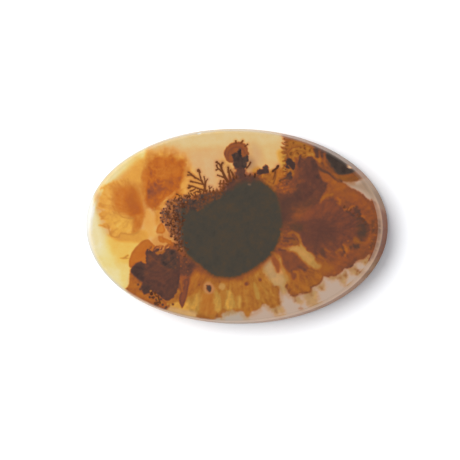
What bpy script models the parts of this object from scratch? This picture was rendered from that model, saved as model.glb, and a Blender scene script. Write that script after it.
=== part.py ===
"""Oval tablet of dendritic agate, one polished piece of stone, lying on its flat back.

Units are metres, +Z up. X runs along the long axis, Y across it, and the origin is the middle of the flat back.
"""

import math

import bmesh
import bpy
from mathutils import Matrix, Vector

MM = 0.001

# Driving dimensions, measured over the girdle, which is the widest line round the stone
LENGTH = 50.0 * MM
WIDTH = 32.0 * MM
THICKNESS = 5.0 * MM

# The rings of the plan oval from the back up to the polished face: shares of the girdle's length and width, and a
# height. The front bevel is wider at the two ends of the stone than along its sides.
BACK_FACE = (0.960, 0.960, 0.0)
BACK_BEVEL_TOP = (0.994, 0.994, 0.75 * MM)
GIRDLE = (1.0, 1.0, 1.35 * MM)
SIDE_TOP = (0.979, 0.979, 4.55 * MM)
FRONT_FACE = (0.950, 0.961, THICKNESS)
PROFILE = (BACK_FACE, BACK_BEVEL_TOP, GIRDLE, SIDE_TOP, FRONT_FACE)

OUTLINE_POINTS = 160
POLISH_RADIUS = 0.14 * MM
POLISH_SEGMENTS = 2
SHARPEST_SMOOTH_ANGLE = math.radians(8.0)

# Two small chips in the front edge: where each one is on the oval, its ball's radius and how deep it bites
CHIPS = {
    "chip_by_dark_patch": {"turn": math.radians(39.4), "radius": 0.75 * MM, "bite": 0.20 * MM},
    "chip_on_long_side": {"turn": math.radians(103.9), "radius": 0.70 * MM, "bite": 0.15 * MM},
}

STONE_COLOUR = (0.52, 0.24, 0.09, 1.0)
STONE_ROUGHNESS = 0.08
STONE_IOR = 1.54


def clear_scene():
    for thing in list(bpy.data.objects):
        bpy.data.objects.remove(thing, do_unlink=True)


def agate_material():
    material = bpy.data.materials.new("polished agate")
    material.use_nodes = True
    shader = material.node_tree.nodes["Principled BSDF"]
    shader.inputs["Base Color"].default_value = STONE_COLOUR
    shader.inputs["Roughness"].default_value = STONE_ROUGHNESS
    shader.inputs["Metallic"].default_value = 0.0
    shader.inputs["IOR"].default_value = STONE_IOR
    return material


def point_on_oval(turn, length_share, width_share, height):
    """The point at an angle of the oval's own parameter, on a ring given as shares of the girdle's size."""
    across = length_share * LENGTH / 2 * math.cos(turn)
    along = width_share * WIDTH / 2 * math.sin(turn)
    return Vector((across, along, height))


def oval_ring(mesh, ring):
    """One closed ring of the profile, counterclockwise seen from above."""
    turns = [2 * math.pi * step / OUTLINE_POINTS for step in range(OUTLINE_POINTS)]
    return [mesh.verts.new(point_on_oval(turn, *ring)) for turn in turns]


def skin_between(mesh, lower, upper):
    """Four-sided faces from one ring to the next, facing out."""
    for step in range(OUTLINE_POINTS):
        following = (step + 1) % OUTLINE_POINTS
        mesh.faces.new((lower[step], lower[following], upper[following], upper[step]))


def tablet_mesh():
    """The stone before its edges are eased: flat back, back bevel, leaning side, front bevel and flat front."""
    mesh = bmesh.new()
    rings = [oval_ring(mesh, ring) for ring in PROFILE]
    for lower, upper in zip(rings, rings[1:]):
        skin_between(mesh, lower, upper)
    mesh.faces.new(list(reversed(rings[0])))
    mesh.faces.new(rings[-1])
    data = bpy.data.meshes.new("agate_tablet")
    mesh.to_mesh(data)
    mesh.free()
    return data


def ease_edges(tablet):
    """Polishing leaves every edge of the tablet slightly rounded."""
    bevel = tablet.modifiers.new("eased edges", "BEVEL")
    bevel.width = POLISH_RADIUS
    bevel.segments = POLISH_SEGMENTS
    bevel.limit_method = "ANGLE"
    bevel.angle_limit = SHARPEST_SMOOTH_ANGLE
    bevel.use_clamp_overlap = True


def chip_cutter(name, turn, radius, bite):
    """A small ball that bites into the edge between the leaning side and the front bevel."""
    edge = point_on_oval(turn, *SIDE_TOP)
    outward = Vector((edge.x / (LENGTH / 2) ** 2, edge.y / (WIDTH / 2) ** 2, 0.0)).normalized()
    away = (outward + Vector((0.0, 0.0, 1.0))).normalized()
    mesh = bmesh.new()
    place = Matrix.Translation(edge + away * (radius - bite))
    bmesh.ops.create_icosphere(mesh, subdivisions=3, radius=radius, matrix=place)
    data = bpy.data.meshes.new(name)
    mesh.to_mesh(data)
    mesh.free()
    cutter = bpy.data.objects.new(name, data)
    cutter.hide_render = True
    cutter.display_type = "WIRE"
    bpy.context.scene.collection.objects.link(cutter)
    return cutter


def bite_chips(tablet):
    for name, chip in CHIPS.items():
        cut = tablet.modifiers.new(name, "BOOLEAN")
        cut.operation = "DIFFERENCE"
        cut.solver = "EXACT"
        cut.object = chip_cutter(name, **chip)


def build_tablet():
    tablet = bpy.data.objects.new("agate_tablet", tablet_mesh())
    bpy.context.scene.collection.objects.link(tablet)
    tablet.data.materials.append(agate_material())
    tablet.data.shade_smooth()
    tablet.data.set_sharp_from_angle(angle=SHARPEST_SMOOTH_ANGLE)
    ease_edges(tablet)
    bite_chips(tablet)
    return tablet


clear_scene()
build_tablet()
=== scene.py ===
import math

import bpy
import numpy as np
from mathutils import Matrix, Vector
from mathutils.geometry import delaunay_2d_cdt


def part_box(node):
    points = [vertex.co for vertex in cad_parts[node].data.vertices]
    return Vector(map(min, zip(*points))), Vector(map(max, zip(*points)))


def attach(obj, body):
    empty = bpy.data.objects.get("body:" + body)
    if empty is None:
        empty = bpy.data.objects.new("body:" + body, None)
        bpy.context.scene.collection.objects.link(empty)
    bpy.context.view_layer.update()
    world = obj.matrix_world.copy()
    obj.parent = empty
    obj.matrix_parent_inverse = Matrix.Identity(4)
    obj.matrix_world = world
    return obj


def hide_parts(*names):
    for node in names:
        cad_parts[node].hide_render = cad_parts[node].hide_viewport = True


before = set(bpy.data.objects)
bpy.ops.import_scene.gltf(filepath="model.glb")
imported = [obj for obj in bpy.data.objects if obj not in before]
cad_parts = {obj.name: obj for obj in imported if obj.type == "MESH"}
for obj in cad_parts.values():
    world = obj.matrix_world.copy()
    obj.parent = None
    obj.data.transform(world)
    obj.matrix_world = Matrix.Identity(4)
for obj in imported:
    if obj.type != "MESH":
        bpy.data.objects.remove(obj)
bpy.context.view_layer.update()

mm = 0.001
lowCorner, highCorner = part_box("agate_tablet")
stoneLength = (highCorner.x - lowCorner.x) / mm
stoneWidth = (highCorner.y - lowCorner.y) / mm
stoneHeight = (highCorner.z - lowCorner.z) / mm

# The stone is worked out in millimetres: x to the right along the oval, y across it, z up from the flat back.
stone = {
    "backFace": (0.960, 0.960, 0.0),        # shares of the widest oval's length and width, height
    "backBevelTop": (0.994, 0.994, 0.75),
    "widest": (1.0, 1.0, 1.35),
    "sideTop": (0.979, 0.979, 4.55),
    "frontFace": (0.950, 0.961, 5.0),
    "easing": 0.14,                  # how round polishing left each edge
    "leastEasing": 0.03,             # how far an easing reaches at least, on either side of its edge
    "fullness": 2.035,               # 2 is a true ellipse, more is fuller between the ends and the sides
    "roundSteps": 480,               # points round the oval
    "easingSteps": 3,                # points over each eased edge
    "longestStep": 0.40,             # longest face on the side
    "frontStep": 0.17,               # between points on the front
    "fineStep": 0.085,               # the same, where the front has fine growths
    "backStep": 0.42,
    "rimRoom": 0.7,                  # steps between a flat face's rim and its first points inside
}

# Where the front has fine growths, so its mesh is finer there: middle and radius.
fineSpots = [
    ((-4.9, 7.35), 2.9), ((-2.1, 8.7), 2.4), ((1, 11.2), 3.0), ((-10.5, 1.85), 3.4), ((-8.2, 4.7), 2.3),
    ((4.7, 8.8), 1.9), ((8.2, 7.2), 2.3), ((9.15, 10.3), 1.9), ((10.1, 12.8), 2.6), ((12.45, 12.65), 2.2),
    ((-9.6, -2.4), 2.3), ((-12.65, -12.1), 2.0), ((9.45, -1.85), 2.2), ((20, 2.4), 2.3), ((-8.4, -7), 2.0),
    ((2.7, 9.75), 1.6), ((-12.4, -4.4), 1.9),
]

# Chips in the front edge: degrees round the oval, and the radius and depth of the ball that bites each.
chips = {
    "byDarkPatch": {"turn": 39.4, "radius": 0.75, "bite": 0.20},
    "onLongSide": {"turn": 103.9, "radius": 0.70, "bite": 0.15},
}


# Smooth seeded noise between about -1 and 1, at points in millimetres.
def cloud(points, size, seed, octaves=3):
    blocks = 32
    table = np.random.default_rng(seed).uniform(-1, 1, (blocks, blocks, blocks))
    total = np.zeros(len(points))
    strength, strengths = 1.0, 0.0
    for octave in range(octaves):
        place = points / size * 2 ** octave + 5.7 * octave + 11.3
        cell = np.floor(place).astype(int)
        part = place - cell
        part = part ** 3 * (part * (part * 6 - 15) + 10)
        for corner in np.ndindex(2, 2, 2):
            near = (cell + corner) % blocks
            share = np.prod(np.where(corner, part, 1 - part), axis=1)
            total += strength * share * table[near[:, 0], near[:, 1], near[:, 2]]
        strengths += strength
        strength *= 0.55                # each finer layer is weaker
    return total / strengths


# Distances to the two nearest of a scattered set of middles, for lace.
def nearestMiddles(spot, size, seed):
    blocks = 64
    table = np.random.default_rng(seed).uniform(0.1, 0.9, (blocks, blocks, 2))
    place = spot / size + 20
    home = np.floor(place).astype(int)
    first, second = np.full(len(spot), 9.0), np.full(len(spot), 9.0)
    for shift in np.ndindex(3, 3):
        cell = home + shift - 1
        distance = np.hypot(*(place - cell - table[cell[:, 0] % blocks, cell[:, 1] % blocks]).T)
        second = np.minimum(second, np.maximum(first, distance))
        first = np.minimum(first, distance)
    return first * size, second * size


# 0 below low, 1 above high and a soft step between them.
def smooth(value, low, high):
    part = np.clip((value - low) / (high - low), 0, 1)
    return part * part * (3 - 2 * part)


# A soft closed or open curve through a few points.
def softCurve(points, closed, steps=6):
    points = np.array(points, float)
    if len(points) < 3:
        return points
    if closed:
        before, start, end, after = (np.roll(points, shift, 0) for shift in (1, 0, -1, -2))
    else:
        padded = np.vstack([points[0], points, points[-1]])
        before, start, end, after = padded[:-3], padded[1:-2], padded[2:-1], padded[3:]
    curve = []
    for step in range(steps):
        t = step / steps
        curve.append(0.5 * (2 * start + (end - before) * t
                            + (2 * before - 5 * start + 4 * end - after) * t ** 2
                            + (3 * start - before - 3 * end + after) * t ** 3))
    curve = np.stack(curve, 1).reshape(-1, 2)
    return curve if closed else np.vstack([curve, points[-1]])


# Distance from each place to the nearest stretch of a curve, and how far along the curve that is.
def curveDistance(places, curve):
    nearest = np.full(len(places), 1e9)
    along = np.zeros(len(places))
    for index in range(len(curve) - 1):
        start, span = curve[index], curve[index + 1] - curve[index]
        offset = places - start
        part = np.clip(offset @ span / max(span @ span, 1e-9), 0, 1)
        distance = np.hypot(*(offset - part[:, None] * span).T)
        closer = distance < nearest
        nearest[closer] = distance[closer]
        along[closer] = (index + part[closer]) / (len(curve) - 1)
    return nearest, along


def insideCurve(places, curve):
    inside = np.zeros(len(places), bool)
    for (startX, startY), (endX, endY) in zip(curve, np.roll(curve, -1, 0)):
        if startY == endY:
            continue
        crosses = (startY > places[:, 1]) != (endY > places[:, 1])
        crossing = (endX - startX) * (places[:, 1] - startY) / (endY - startY) + startX
        inside ^= crosses & (places[:, 0] < crossing)
    return inside


# Which places lie in the box round a curve, or within a margin of it.
def nearCurve(places, curve, margin):
    return ((places > curve.min(0) - margin) & (places < curve.max(0) + margin)).all(1)


# The stone's profile from the back up to the front, with each corner eased: end reach, side reach and height.
def easedProfile():
    size = np.array((stoneLength / 2, stoneWidth / 2, stoneHeight / stone["frontFace"][2]))
    names = ("backFace", "backBevelTop", "widest", "sideTop", "frontFace")
    corners = [np.array(stone[name]) * size for name in names]
    path = [np.zeros(3), *corners, np.array((0.0, 0.0, stoneHeight))]
    eased = []
    for before, corner, after in zip(path, path[1:], path[2:]):
        back = (before - corner) / np.linalg.norm(before - corner)
        on = (after - corner) / np.linalg.norm(after - corner)
        turn = math.pi - math.acos(np.clip(back @ on, -1, 1))
        cut = max(stone["easing"] * math.tan(turn / 2), stone["leastEasing"])
        for step in range(stone["easingSteps"] + 1):
            t = step / stone["easingSteps"]
            eased.append(corner + back * cut * (1 - t) ** 2 + on * cut * t ** 2)
    rows = [eased[0]]
    for point in eased[1:]:
        pieces = max(1, round(np.linalg.norm(point - rows[-1]) / stone["longestStep"]))
        start = rows[-1]
        rows.extend(start + (point - start) * (piece + 1) / pieces for piece in range(pieces))
    return rows


# How far out a place is: 1 on the oval's line. Both shares are of the oval's own half length and half width.
def ovalShare(endShare, sideShare):
    power = stone["fullness"]
    return (np.abs(endShare) ** power + np.abs(sideShare) ** power) ** (1 / power)


# One row of the stone's side: how far it reaches at the end and at the side of the oval, and its height.
def ovalRow(endReach, sideReach, height):
    turns = np.arange(stone["roundSteps"]) * 2 * math.pi / stone["roundSteps"]
    ends, sides = np.cos(turns), np.sin(turns)
    share = ovalShare(ends, sides)
    return np.column_stack([endReach * ends / share, sideReach * sides / share, np.full(len(turns), height)])


# Evenly spread places inside an oval, in rows of triangles.
def lattice(step, endReach, sideReach):
    rowStep = step * math.sqrt(3) / 2
    across = int(stoneLength / 2 / step) + 2
    up = int(stoneWidth / 2 / rowStep) + 2
    column, row = np.meshgrid(np.arange(-across, across + 1), np.arange(-up, up + 1))
    places = np.column_stack([((column + 0.5 * (row % 2)) * step).ravel(), (row * rowStep).ravel()])
    room = step * stone["rimRoom"]
    return places[ovalShare(places[:, 0] / (endReach - room), places[:, 1] / (sideReach - room)) < 1]


def nearFineSpot(places):
    near = np.zeros(len(places), bool)
    for middle, radius in fineSpots:
        near |= np.hypot(*(places - middle).T) < radius
    return near


# The triangles of a flat face. Its first rimCount places are the rim.
def flatFace(flat, rimCount):
    spots = [Vector(place) for place in flat]
    return delaunay_2d_cdt(spots, [], [list(range(rimCount))], 1, 1e-6, False)[2]


def chipPlace(chip):
    turn = math.radians(chip["turn"])
    longShare, wideShare, height = stone["sideTop"]
    out = 1 / ovalShare(math.cos(turn), math.sin(turn))
    toEnd = longShare * out * stoneLength / 2 * math.cos(turn)
    toSide = wideShare * out * stoneWidth / 2 * math.sin(turn)
    return (toEnd, toSide, height)


# Points inside a chip's ball are pushed down to the ball's surface.
def biteChips(points):
    for chip in chips.values():
        turn = math.radians(chip["turn"])
        edge = chipPlace(chip)
        away = np.array((math.cos(turn) / stoneLength, math.sin(turn) / stoneWidth, 0.0))
        away = away / np.linalg.norm(away) + (0, 0, 1)
        away /= np.linalg.norm(away)
        offset = points - edge - away * (chip["radius"] - chip["bite"])
        along = offset @ away
        room = chip["radius"] ** 2 - (offset ** 2).sum(1)
        bitten = room > 0
        points[bitten] -= np.outer((along + np.sqrt(np.maximum(along ** 2 + room, 0)))[bitten], away)
    return points


def stoneMesh():
    profile = easedProfile()
    rows = [ovalRow(*row) for row in profile]
    count = stone["roundSteps"]
    points = [np.vstack(rows)]
    faces = []
    for row in range(len(rows) - 1):
        for step in range(count):
            following = (step + 1) % count
            faces.append((row * count + step, row * count + following,
                          (row + 1) * count + following, (row + 1) * count + step))
    coarse = lattice(stone["frontStep"], *profile[-1][:2])
    fine = lattice(stone["fineStep"], *profile[-1][:2])
    front = np.vstack([coarse[~nearFineSpot(coarse)], fine[nearFineSpot(fine)]])
    back = lattice(stone["backStep"], *profile[0][:2])
    made = len(points[0])
    top = (len(rows) - 1) * count
    for rim, firstRim, inner, height, upward in ((rows[-1], top, front, stoneHeight, True),
                                                 (rows[0], 0, back, 0.0, False)):
        points.append(np.column_stack([inner, np.full(len(inner), height)]))
        flat = np.vstack([rim[:, :2], inner])
        for face in flatFace(flat, count):
            corners = [firstRim + corner if corner < count else made + corner - count for corner in face]
            (startX, startY), (nextX, nextY), (lastX, lastY) = flat[list(face)]
            across = (nextX - startX) * (lastY - startY) - (nextY - startY) * (lastX - startX)
            isUpward = across > 0
            faces.append(corners if isUpward == upward else corners[::-1])
        made += len(inner)
    return biteChips(np.vstack(points)), faces


def addObject(name, data):
    made = bpy.data.objects.new(name, data)
    bpy.context.scene.collection.objects.link(made)
    return made


points, faces = stoneMesh()
meshData = bpy.data.meshes.new("polishedAgate")
meshData.from_pydata((points * mm).tolist(), [], faces)
meshData.shade_smooth()
polishedAgate = addObject("polishedAgate", meshData)
print("Stone made, triangles:", sum(len(face) - 2 for face in faces))

# Every marking is a place in the stone with its own iron stain, in millimetres, and later ones lie over
# earlier ones. stain runs from 0, clear and milky, over yellow, orange and brown to 1, black. rose turns the
# stain from olive and yellow to rose and maroon. haze is clear grey stone. soft is the width of the edge,
# rough and ray are how far it wanders, grain and strand how coarsely, and rim is how dark its line is.
# fibre, mottle, curl, ripple and lace are how strong each kind of grain is inside the marking.
usualMark = dict(rose=0.6, haze=0, soft=0.5, strength=1, rough=0, ray=0, strand=0.3, rim=0,
                 fibre=0, mottle=0, curl=0, ripple=0, lace=0)
coreMiddle = (-0.35, -0.3)

# The clear and honey-coloured stone between the plumes
ground = dict(
    paleTop=dict(stain=0.17, rose=0.9, haze=0.25, soft=1.6, area=[
        (-14.25, 12.35), (-10.65, 14.2), (-5.7, 15.55), (0.95, 16.3), (8.25, 15.9), (8.25, 14.25),
        (4.65, 12.55), (1, 13.15), (-1.5, 13.15), (-4.85, 12.95), (-8, 12.75), (-10.65, 13.2)]),
    paleLowerLeft=dict(stain=0.12, rose=0.2, soft=2, area=[
        (-22.5, -5.5), (-20.7, -6.3), (-18.7, -6.6), (-17.2, -7.25), (-17.35, -9.05), (-17.65, -11.05),
        (-19.8, -10.05), (-21.65, -8.1)]),
    yellowBelt=dict(stain=0.22, rose=0, soft=2, area=[
        (-21.4, -2.2), (-20.05, -1.7), (-19.05, -2), (-17.1, -2.5), (-15.75, -2.95), (-16.55, -4.45),
        (-17.2, -6.1), (-18.7, -6.95), (-20.35, -6.3), (-21.35, -4.85)]),
    goldBelt=dict(stain=0.285, rose=0, soft=2, area=[
        (-21.2, -2.85), (-19.75, -2), (-18.1, -2.15), (-15.4, -2.15), (-15.75, -3.45), (-16.7, -4.8),
        (-17.2, -6.45), (-18.35, -6.1), (-19.35, -5.15), (-20.35, -4.8)]),
    creamBelt=dict(stain=0.16, rose=0, soft=1.8, area=[
        (-22.55, -3.55), (-21.05, -3.2), (-20.05, -4.8), (-19.35, -7.1), (-21, -6.8), (-22.2, -5.5)]),
    warmFoot=dict(stain=0.2, rose=0.15, soft=1, area=[
        (-18.5, -6.75), (-17, -6.75), (-17.35, -8.75), (-17.65, -10.35), (-18.5, -9.05)]),
    yellowRim=dict(stain=0.11, rose=0.3, soft=1.3, area=[
        (-22.15, 6), (-20.2, 8.3), (-17.55, 10.5), (-15.25, 11.85), (-14.6, 11), (-16.55, 9.5),
        (-18.55, 8.15), (-20.5, 6.65), (-21.65, 5.2)]),
    goldBetween=dict(stain=0.57, rose=1, soft=1.6, area=[
        (-16.7, 6.7), (-15.9, 8.2), (-15.25, 10), (-14.25, 10.7), (-14, 3.45), (-14.65, 3.6), (-15.35, 4.75),
        (-15.85, 5.9)]),
    honeyTopLeft=dict(stain=0.36, soft=2.2, area=[
        (-19.2, 6.7), (-18.35, 8.35), (-17.05, 9.85), (-15.75, 11.15), (-14.25, 12.15), (-14.2, 7.75),
        (-15.35, 6.25), (-16.85, 6.4)]),
    brightYellow=dict(stain=0.14, rose=0, soft=1.3, area=[
        (-15.65, 11.4), (-15.25, 12), (-14.6, 12.15), (-14.65, 11.35), (-15.1, 11)]),
    # Partly milky stone, partly a painted glow of the key light on the left rim.
    creamRimAndGlow=dict(stain=0, rose=0.8, soft=1.1, area=[
        (-26.05, -0.3), (-26.1, 4), (-24.85, 7.6), (-22.85, 10.25), (-20.25, 12.6), (-17.3, 14.45),
        (-14.4, 14.3), (-14.5, 12.4), (-15.75, 12.05), (-17.4, 11), (-19.2, 9.7), (-21, 8.15), (-22.4, 6.5),
        (-22.9, 4.65), (-22.95, 2.85), (-22.85, -0.25), (-22.7, -3.35), (-22.35, -5.85), (-21.15, -7.95),
        (-19.65, -9.75), (-17.8, -11.35), (-19.6, -12.35), (-22.65, -9.8), (-24.65, -6.2), (-25.7, -3.4)]),
    yellowOnTopRim=dict(stain=0.27, rose=0.1, soft=0.55, strength=0.9, area=[
        (-3.85, 15.65), (-2.35, 15.85), (-0.9, 15.8), (-1.55, 15.4), (-2.85, 15.15), (-3.7, 15.35)]),
    peachTop=dict(stain=0.265, rose=0.95, haze=0.38, soft=2, area=[
        (-7.3, 11.75), (-4.8, 12.45), (-2, 12.5), (-2.3, 11.15), (-2.95, 8.85), (-3.25, 6.7), (-4.6, 7.05),
        (-5.25, 8.85), (-6.95, 9.8)]),
    rosePale=dict(stain=0.25, rose=1, haze=0.42, soft=1, area=[
        (-4.95, 10.45), (-3.65, 10.8), (-3.3, 8.85), (-3.45, 6.9), (-4.45, 7.85)]),
    haloByTree=dict(stain=0.35, rose=0.5, haze=0.18, soft=1.1, area=[
        (-2.3, 10.85), (-1.3, 10.85), (-0.3, 9.85), (1, 9.25), (2.15, 10.9), (2.65, 12.55), (3.45, 12.2),
        (3.65, 10.25), (3.35, 8.75), (-0.3, 8.05), (-1.3, 8.9), (-2.15, 9.85)]),
    creamLeft=dict(stain=0.09, rose=0.3, soft=2, area=[
        (-23.75, 1.4), (-22.45, 1.4), (-21.9, -0.25), (-21.4, -1.2), (-21.2, -2.35), (-21.35, -3.85),
        (-22.35, -5), (-23.4, -2.55)]),
    honeyByFern=dict(stain=0.3, rose=0.75, haze=0.08, soft=1.4, area=[
        (-8.9, 7.8), (-7.6, 9.8), (-6.25, 8.8), (-5.25, 7.2), (-4.55, 5.9), (-6.2, 4.55), (-8.55, 5.2)]),
    yellowTopRight=dict(stain=0.23, rose=0.7, haze=0.28, soft=1.2, area=[
        (4.6, 13.2), (6.95, 13.75), (8.1, 12.95), (7.8, 11.3), (6.3, 10.6), (4.8, 11.6)]),
    oliveTopRight=dict(stain=0.33, rose=0.5, haze=0.45, soft=2, area=[
        (2.65, 13.2), (3.6, 13.55), (4.45, 12.55), (4.5, 10.6), (3.85, 9.25), (2.7, 9.25)]),
    shadeBesideTree=dict(stain=0.47, rose=0.3, haze=0.3, soft=1, area=[
        (2.5, 11.55), (3.3, 11.05), (3.75, 9.9), (3.85, 9.1), (2.7, 9.1), (2.35, 10.05)]),
    honeyByKnobs=dict(stain=0.46, rose=0.4, soft=0.8, area=[
        (3, 9.25), (4, 9.75), (5, 9.1), (6.35, 9.3), (8, 9.3), (8.35, 7.7), (7.05, 6), (5.05, 7.3),
        (3.35, 8.1)]),
    amberByKnobs=dict(stain=0.63, rose=0.45, rough=0.4, grain=0.5, mottle=2.4, curl=-0.5, area=[
        (3.35, 8.3), (3.85, 8.7), (4.7, 8.8), (5.85, 8.8), (6.5, 8.95), (7, 8.65), (7.2, 7.5), (7.85, 7.35),
        (7.85, 5.85), (6.7, 5.35), (5.7, 6.15), (4.35, 7.15)]),
    goldByWedge=dict(stain=0.4, rose=0.2, soft=0.8, area=[
        (7.1, 12.25), (8.1, 12.6), (8.8, 11.3), (8.65, 9.35), (8.35, 7.7), (7.35, 7.65), (7.65, 9.65),
        (7.3, 10.95)]),
    knobShade=dict(stain=0.55, soft=0.8, rough=0.3, mottle=1.5, area=[
        (6.65, 9.3), (7.65, 9.55), (8.35, 8.5), (7.5, 7.65), (6.5, 8)]),
    knobBed=dict(stain=0.55, soft=0.8, area=[
        (6.85, 8), (8.35, 8.35), (9.8, 8.35), (10, 6.7), (7.05, 6.7)]),
    tanByFan=dict(stain=0.7, rose=0.5, soft=0.6, rough=0.2, area=[
        (13.45, 3.65), (14, 4.55), (14.65, 5.15), (15.65, 5.45), (16.65, 5.4), (15.85, 4.9), (15, 4.55),
        (14.2, 3.95)]),
    peachGap=dict(stain=0.32, rose=0.7, haze=0.07, soft=0.9, area=[
        (-14.65, 2.95), (-13.8, 2.5), (-13.15, 1.5), (-12.8, -0.45), (-12.6, -1.75), (-13.75, -2.1),
        (-14.75, -1), (-14.95, 1.15)]),
    honeyGap=dict(stain=0.39, rose=0.7, haze=0.1, soft=0.7, area=[
        (-12.5, 2.15), (-11.8, 0.55), (-10.1, -1.75), (-9.45, -3.35), (-11.4, -4.05), (-13.1, -3.4),
        (-13.45, -2.45), (-12.45, -1.1)]),
    amberGap=dict(stain=0.39, rose=0.8, soft=0.9, area=[
        (-12.85, 2.8), (-12, 3.35), (-11.7, 3.8), (-10.85, 4.5), (-10.05, 5), (-9.05, 5.85), (-8.2, 5.85),
        (-8.2, 4.85), (-9.55, 4.35), (-10.85, 3.85), (-11.5, 3), (-12, 2), (-12.15, 0.55), (-12.65, -0.15),
        (-13.05, 0.85)]),
    goldUnderPlume=dict(stain=0.385, rose=0.5, soft=0.8, area=[
        (-20.75, -1.7), (-19.75, -1.7), (-18.6, -1.1), (-17.1, -1.15), (-15.45, -0.65), (-14.25, -1.15),
        (-14.1, -2.6), (-15.75, -2.95), (-17.4, -2.8), (-19.05, -2.65)]),
    rightWindows=dict(stain=0.36, rose=0.9, haze=1, soft=0.6, area=[
        (-2.35, -14.15), (0.45, -11.45), (8.7, -8.75), (15.3, -5.7), (19.75, -2.05), (21.3, 3.75),
        (19.65, 5.85), (17.3, 7.15), (19.25, 9.15), (22.25, 10.15), (26.35, 0.35), (23.15, -10.2),
        (14.6, -16.55), (-0.3, -17.7), (-3, -16.45)]),
    greyWindow=dict(stain=0.36, rose=0, haze=1, soft=1.2, area=[
        (-2.65, -13.95), (-0.35, -13.45), (1.65, -13.9), (2.8, -14.55), (2.35, -16.35), (-1, -16.75),
        (-3.3, -15.8)]),
    creamTopWindow=dict(stain=0.62, rose=0, haze=0.55, soft=1, area=[
        (17.8, 7.3), (19.3, 7.1), (20.45, 7.2), (21.25, 7.85), (22.25, 8.5), (24.3, 6.25), (25.3, 3.3),
        (24, 2.3), (23.3, 3.75), (22.3, 5), (21.15, 5.95), (19.95, 6.45), (18.8, 6.8)]),
    topWindowLight=dict(stain=0.38, rose=0.4, haze=0.8, soft=1, area=[
        (21.6, 7.35), (22.25, 7.75), (23.05, 7.05), (23.3, 5.95), (22.6, 5.9), (21.95, 6.35)]),
    topWindowShade=dict(stain=0.62, rose=0.2, haze=0.3, soft=0.7, area=[
        (17.8, 7.4), (18.8, 7.4), (19.8, 7.45), (19.95, 6.95), (19.15, 6.95)]),
    tanRim=dict(stain=0.72, rose=0.2, soft=1, rough=0.3, area=[
        (22.4, -3.95), (24.9, -1.95), (25.05, -4.6), (23.45, -7.9), (21.5, -10.2), (20.2, -10.9),
        (20.8, -9.25), (21.8, -7.25), (22.45, -5.6)]),
    tufts=dict(stain=0.51, rose=0, haze=0.16, soft=0.9, strength=0.85, rough=0.4, grain=0.5, mottle=1.2,
        areas=[
        [(11.7, -10.5), (12.85, -10), (13.85, -10.3), (14.15, -11.8), (13.25, -12.8), (12.05, -12.45)],
        [(17.15, -7.8), (18.65, -7.3), (18.8, -8.45), (18.5, -9.35), (17.85, -9.3), (17.5, -8.65)],
        [(18.8, -6.65), (19.8, -6.15), (20.6, -6.6), (20.9, -7.75), (19.95, -7.85), (19.3, -7.3)],
        [(20.6, -5), (22.4, -4.3), (23.25, -4.6), (22.75, -5.95), (21.8, -6.45), (21.1, -5.8)],
        [(10.05, -11.35), (11.25, -11.5), (11.65, -12.3), (10.75, -12.5)],
        [(6.1, -12.55), (7.4, -12.35), (8.25, -12.85), (8.6, -14), (7.3, -14.5), (6.3, -13.85)],
        [(13.85, -9.65), (15, -9.15), (15.35, -9.95), (14.55, -10.4)],
        [(-1.2, -13.6), (0.45, -13.6), (0.8, -14.25), (-1, -14.45)],
        [(15.8, -7.65), (17.15, -7.8), (16.85, -8.8), (16, -8.5)]]),
    tuftHearts=dict(stain=0.78, rose=0.1, soft=0.6, strength=0.75, rough=0.3, grain=0.4, width=0.32, paths=[
        [(20.05, -6.8), (20.4, -7.1), (20.4, -7.6)], [(20.45, -6.95), (20.95, -6.95)],
        [(17.3, -8.2), (17.75, -8.2)], [(18.4, -7.8), (18.65, -7.8)], [(21.85, -5.6), (22, -5.85)],
        [(22.35, -5.05), (22.45, -5.2)], [(14.45, -9.8), (14.7, -9.95)], [(10.25, -11.35), (10.3, -12)],
        [(11.1, -13.25), (11.75, -13.35)], [(7.1, -13.35), (7.3, -14)], [(18.45, -7.15), (18.65, -7.95)],
        [(12.85, -10.5), (13.05, -11.15)]]),
    paleHollow=dict(stain=0.525, rose=0.1, haze=0.08, soft=1, rough=0.3, mottle=1, area=[
        (4.35, -6), (5.2, -5.15), (6, -4.5), (6.5, -5), (7, -6.15), (7.2, -7.3), (8.05, -7.6), (8.85, -7.75),
        (9.55, -8.25), (9.4, -9.4), (9.05, -10.7), (8.25, -10.9), (7.75, -10.25), (6.75, -9.9), (6.05, -9.1),
        (5.4, -8.1), (4.55, -7.15)]),
    hollowLight=dict(stain=0.45, rose=0, haze=0.28, mottle=0.8, soft=1, areas=[
        [(5.05, -6.15), (5.85, -5.15), (6.35, -5.5), (6.7, -6.65), (7.05, -7.45), (8.05, -7.9),
        (8.55, -8.55), (8.4, -9.55), (8.75, -10.7), (8.25, -10.9), (7.9, -9.9), (7.05, -9.6), (6.4, -8.75),
        (5.7, -7.6)]]),
    windowFringe=dict(stain=0.6, rose=0, haze=0.2, soft=1, strength=0.7, width=0.4, rough=0.3, grain=0.5,
        paths=[
        [(23.4, -3.45), (22.1, -4.95), (20.45, -5.65), (19.95, -6.45), (18.45, -7), (17.65, -7.9),
        (16.15, -8.25), (15, -8.35), (14.85, -9.3), (13.85, -9.8), (13.2, -10.3), (12.9, -11),
        (11.55, -11.25), (10.25, -11.5), (9.25, -11.3), (8.9, -10.2)], [(7.9, -9.75), (8.1, -12.05),
        (7.45, -13.2), (6.25, -13.35), (5.1, -13.05), (4.3, -13.9), (2.95, -14.55), (2.15, -14.9),
        (1.3, -14.1), (0, -14.1), (-1, -14.35), (-1.65, -15.1)]]),
)

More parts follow.
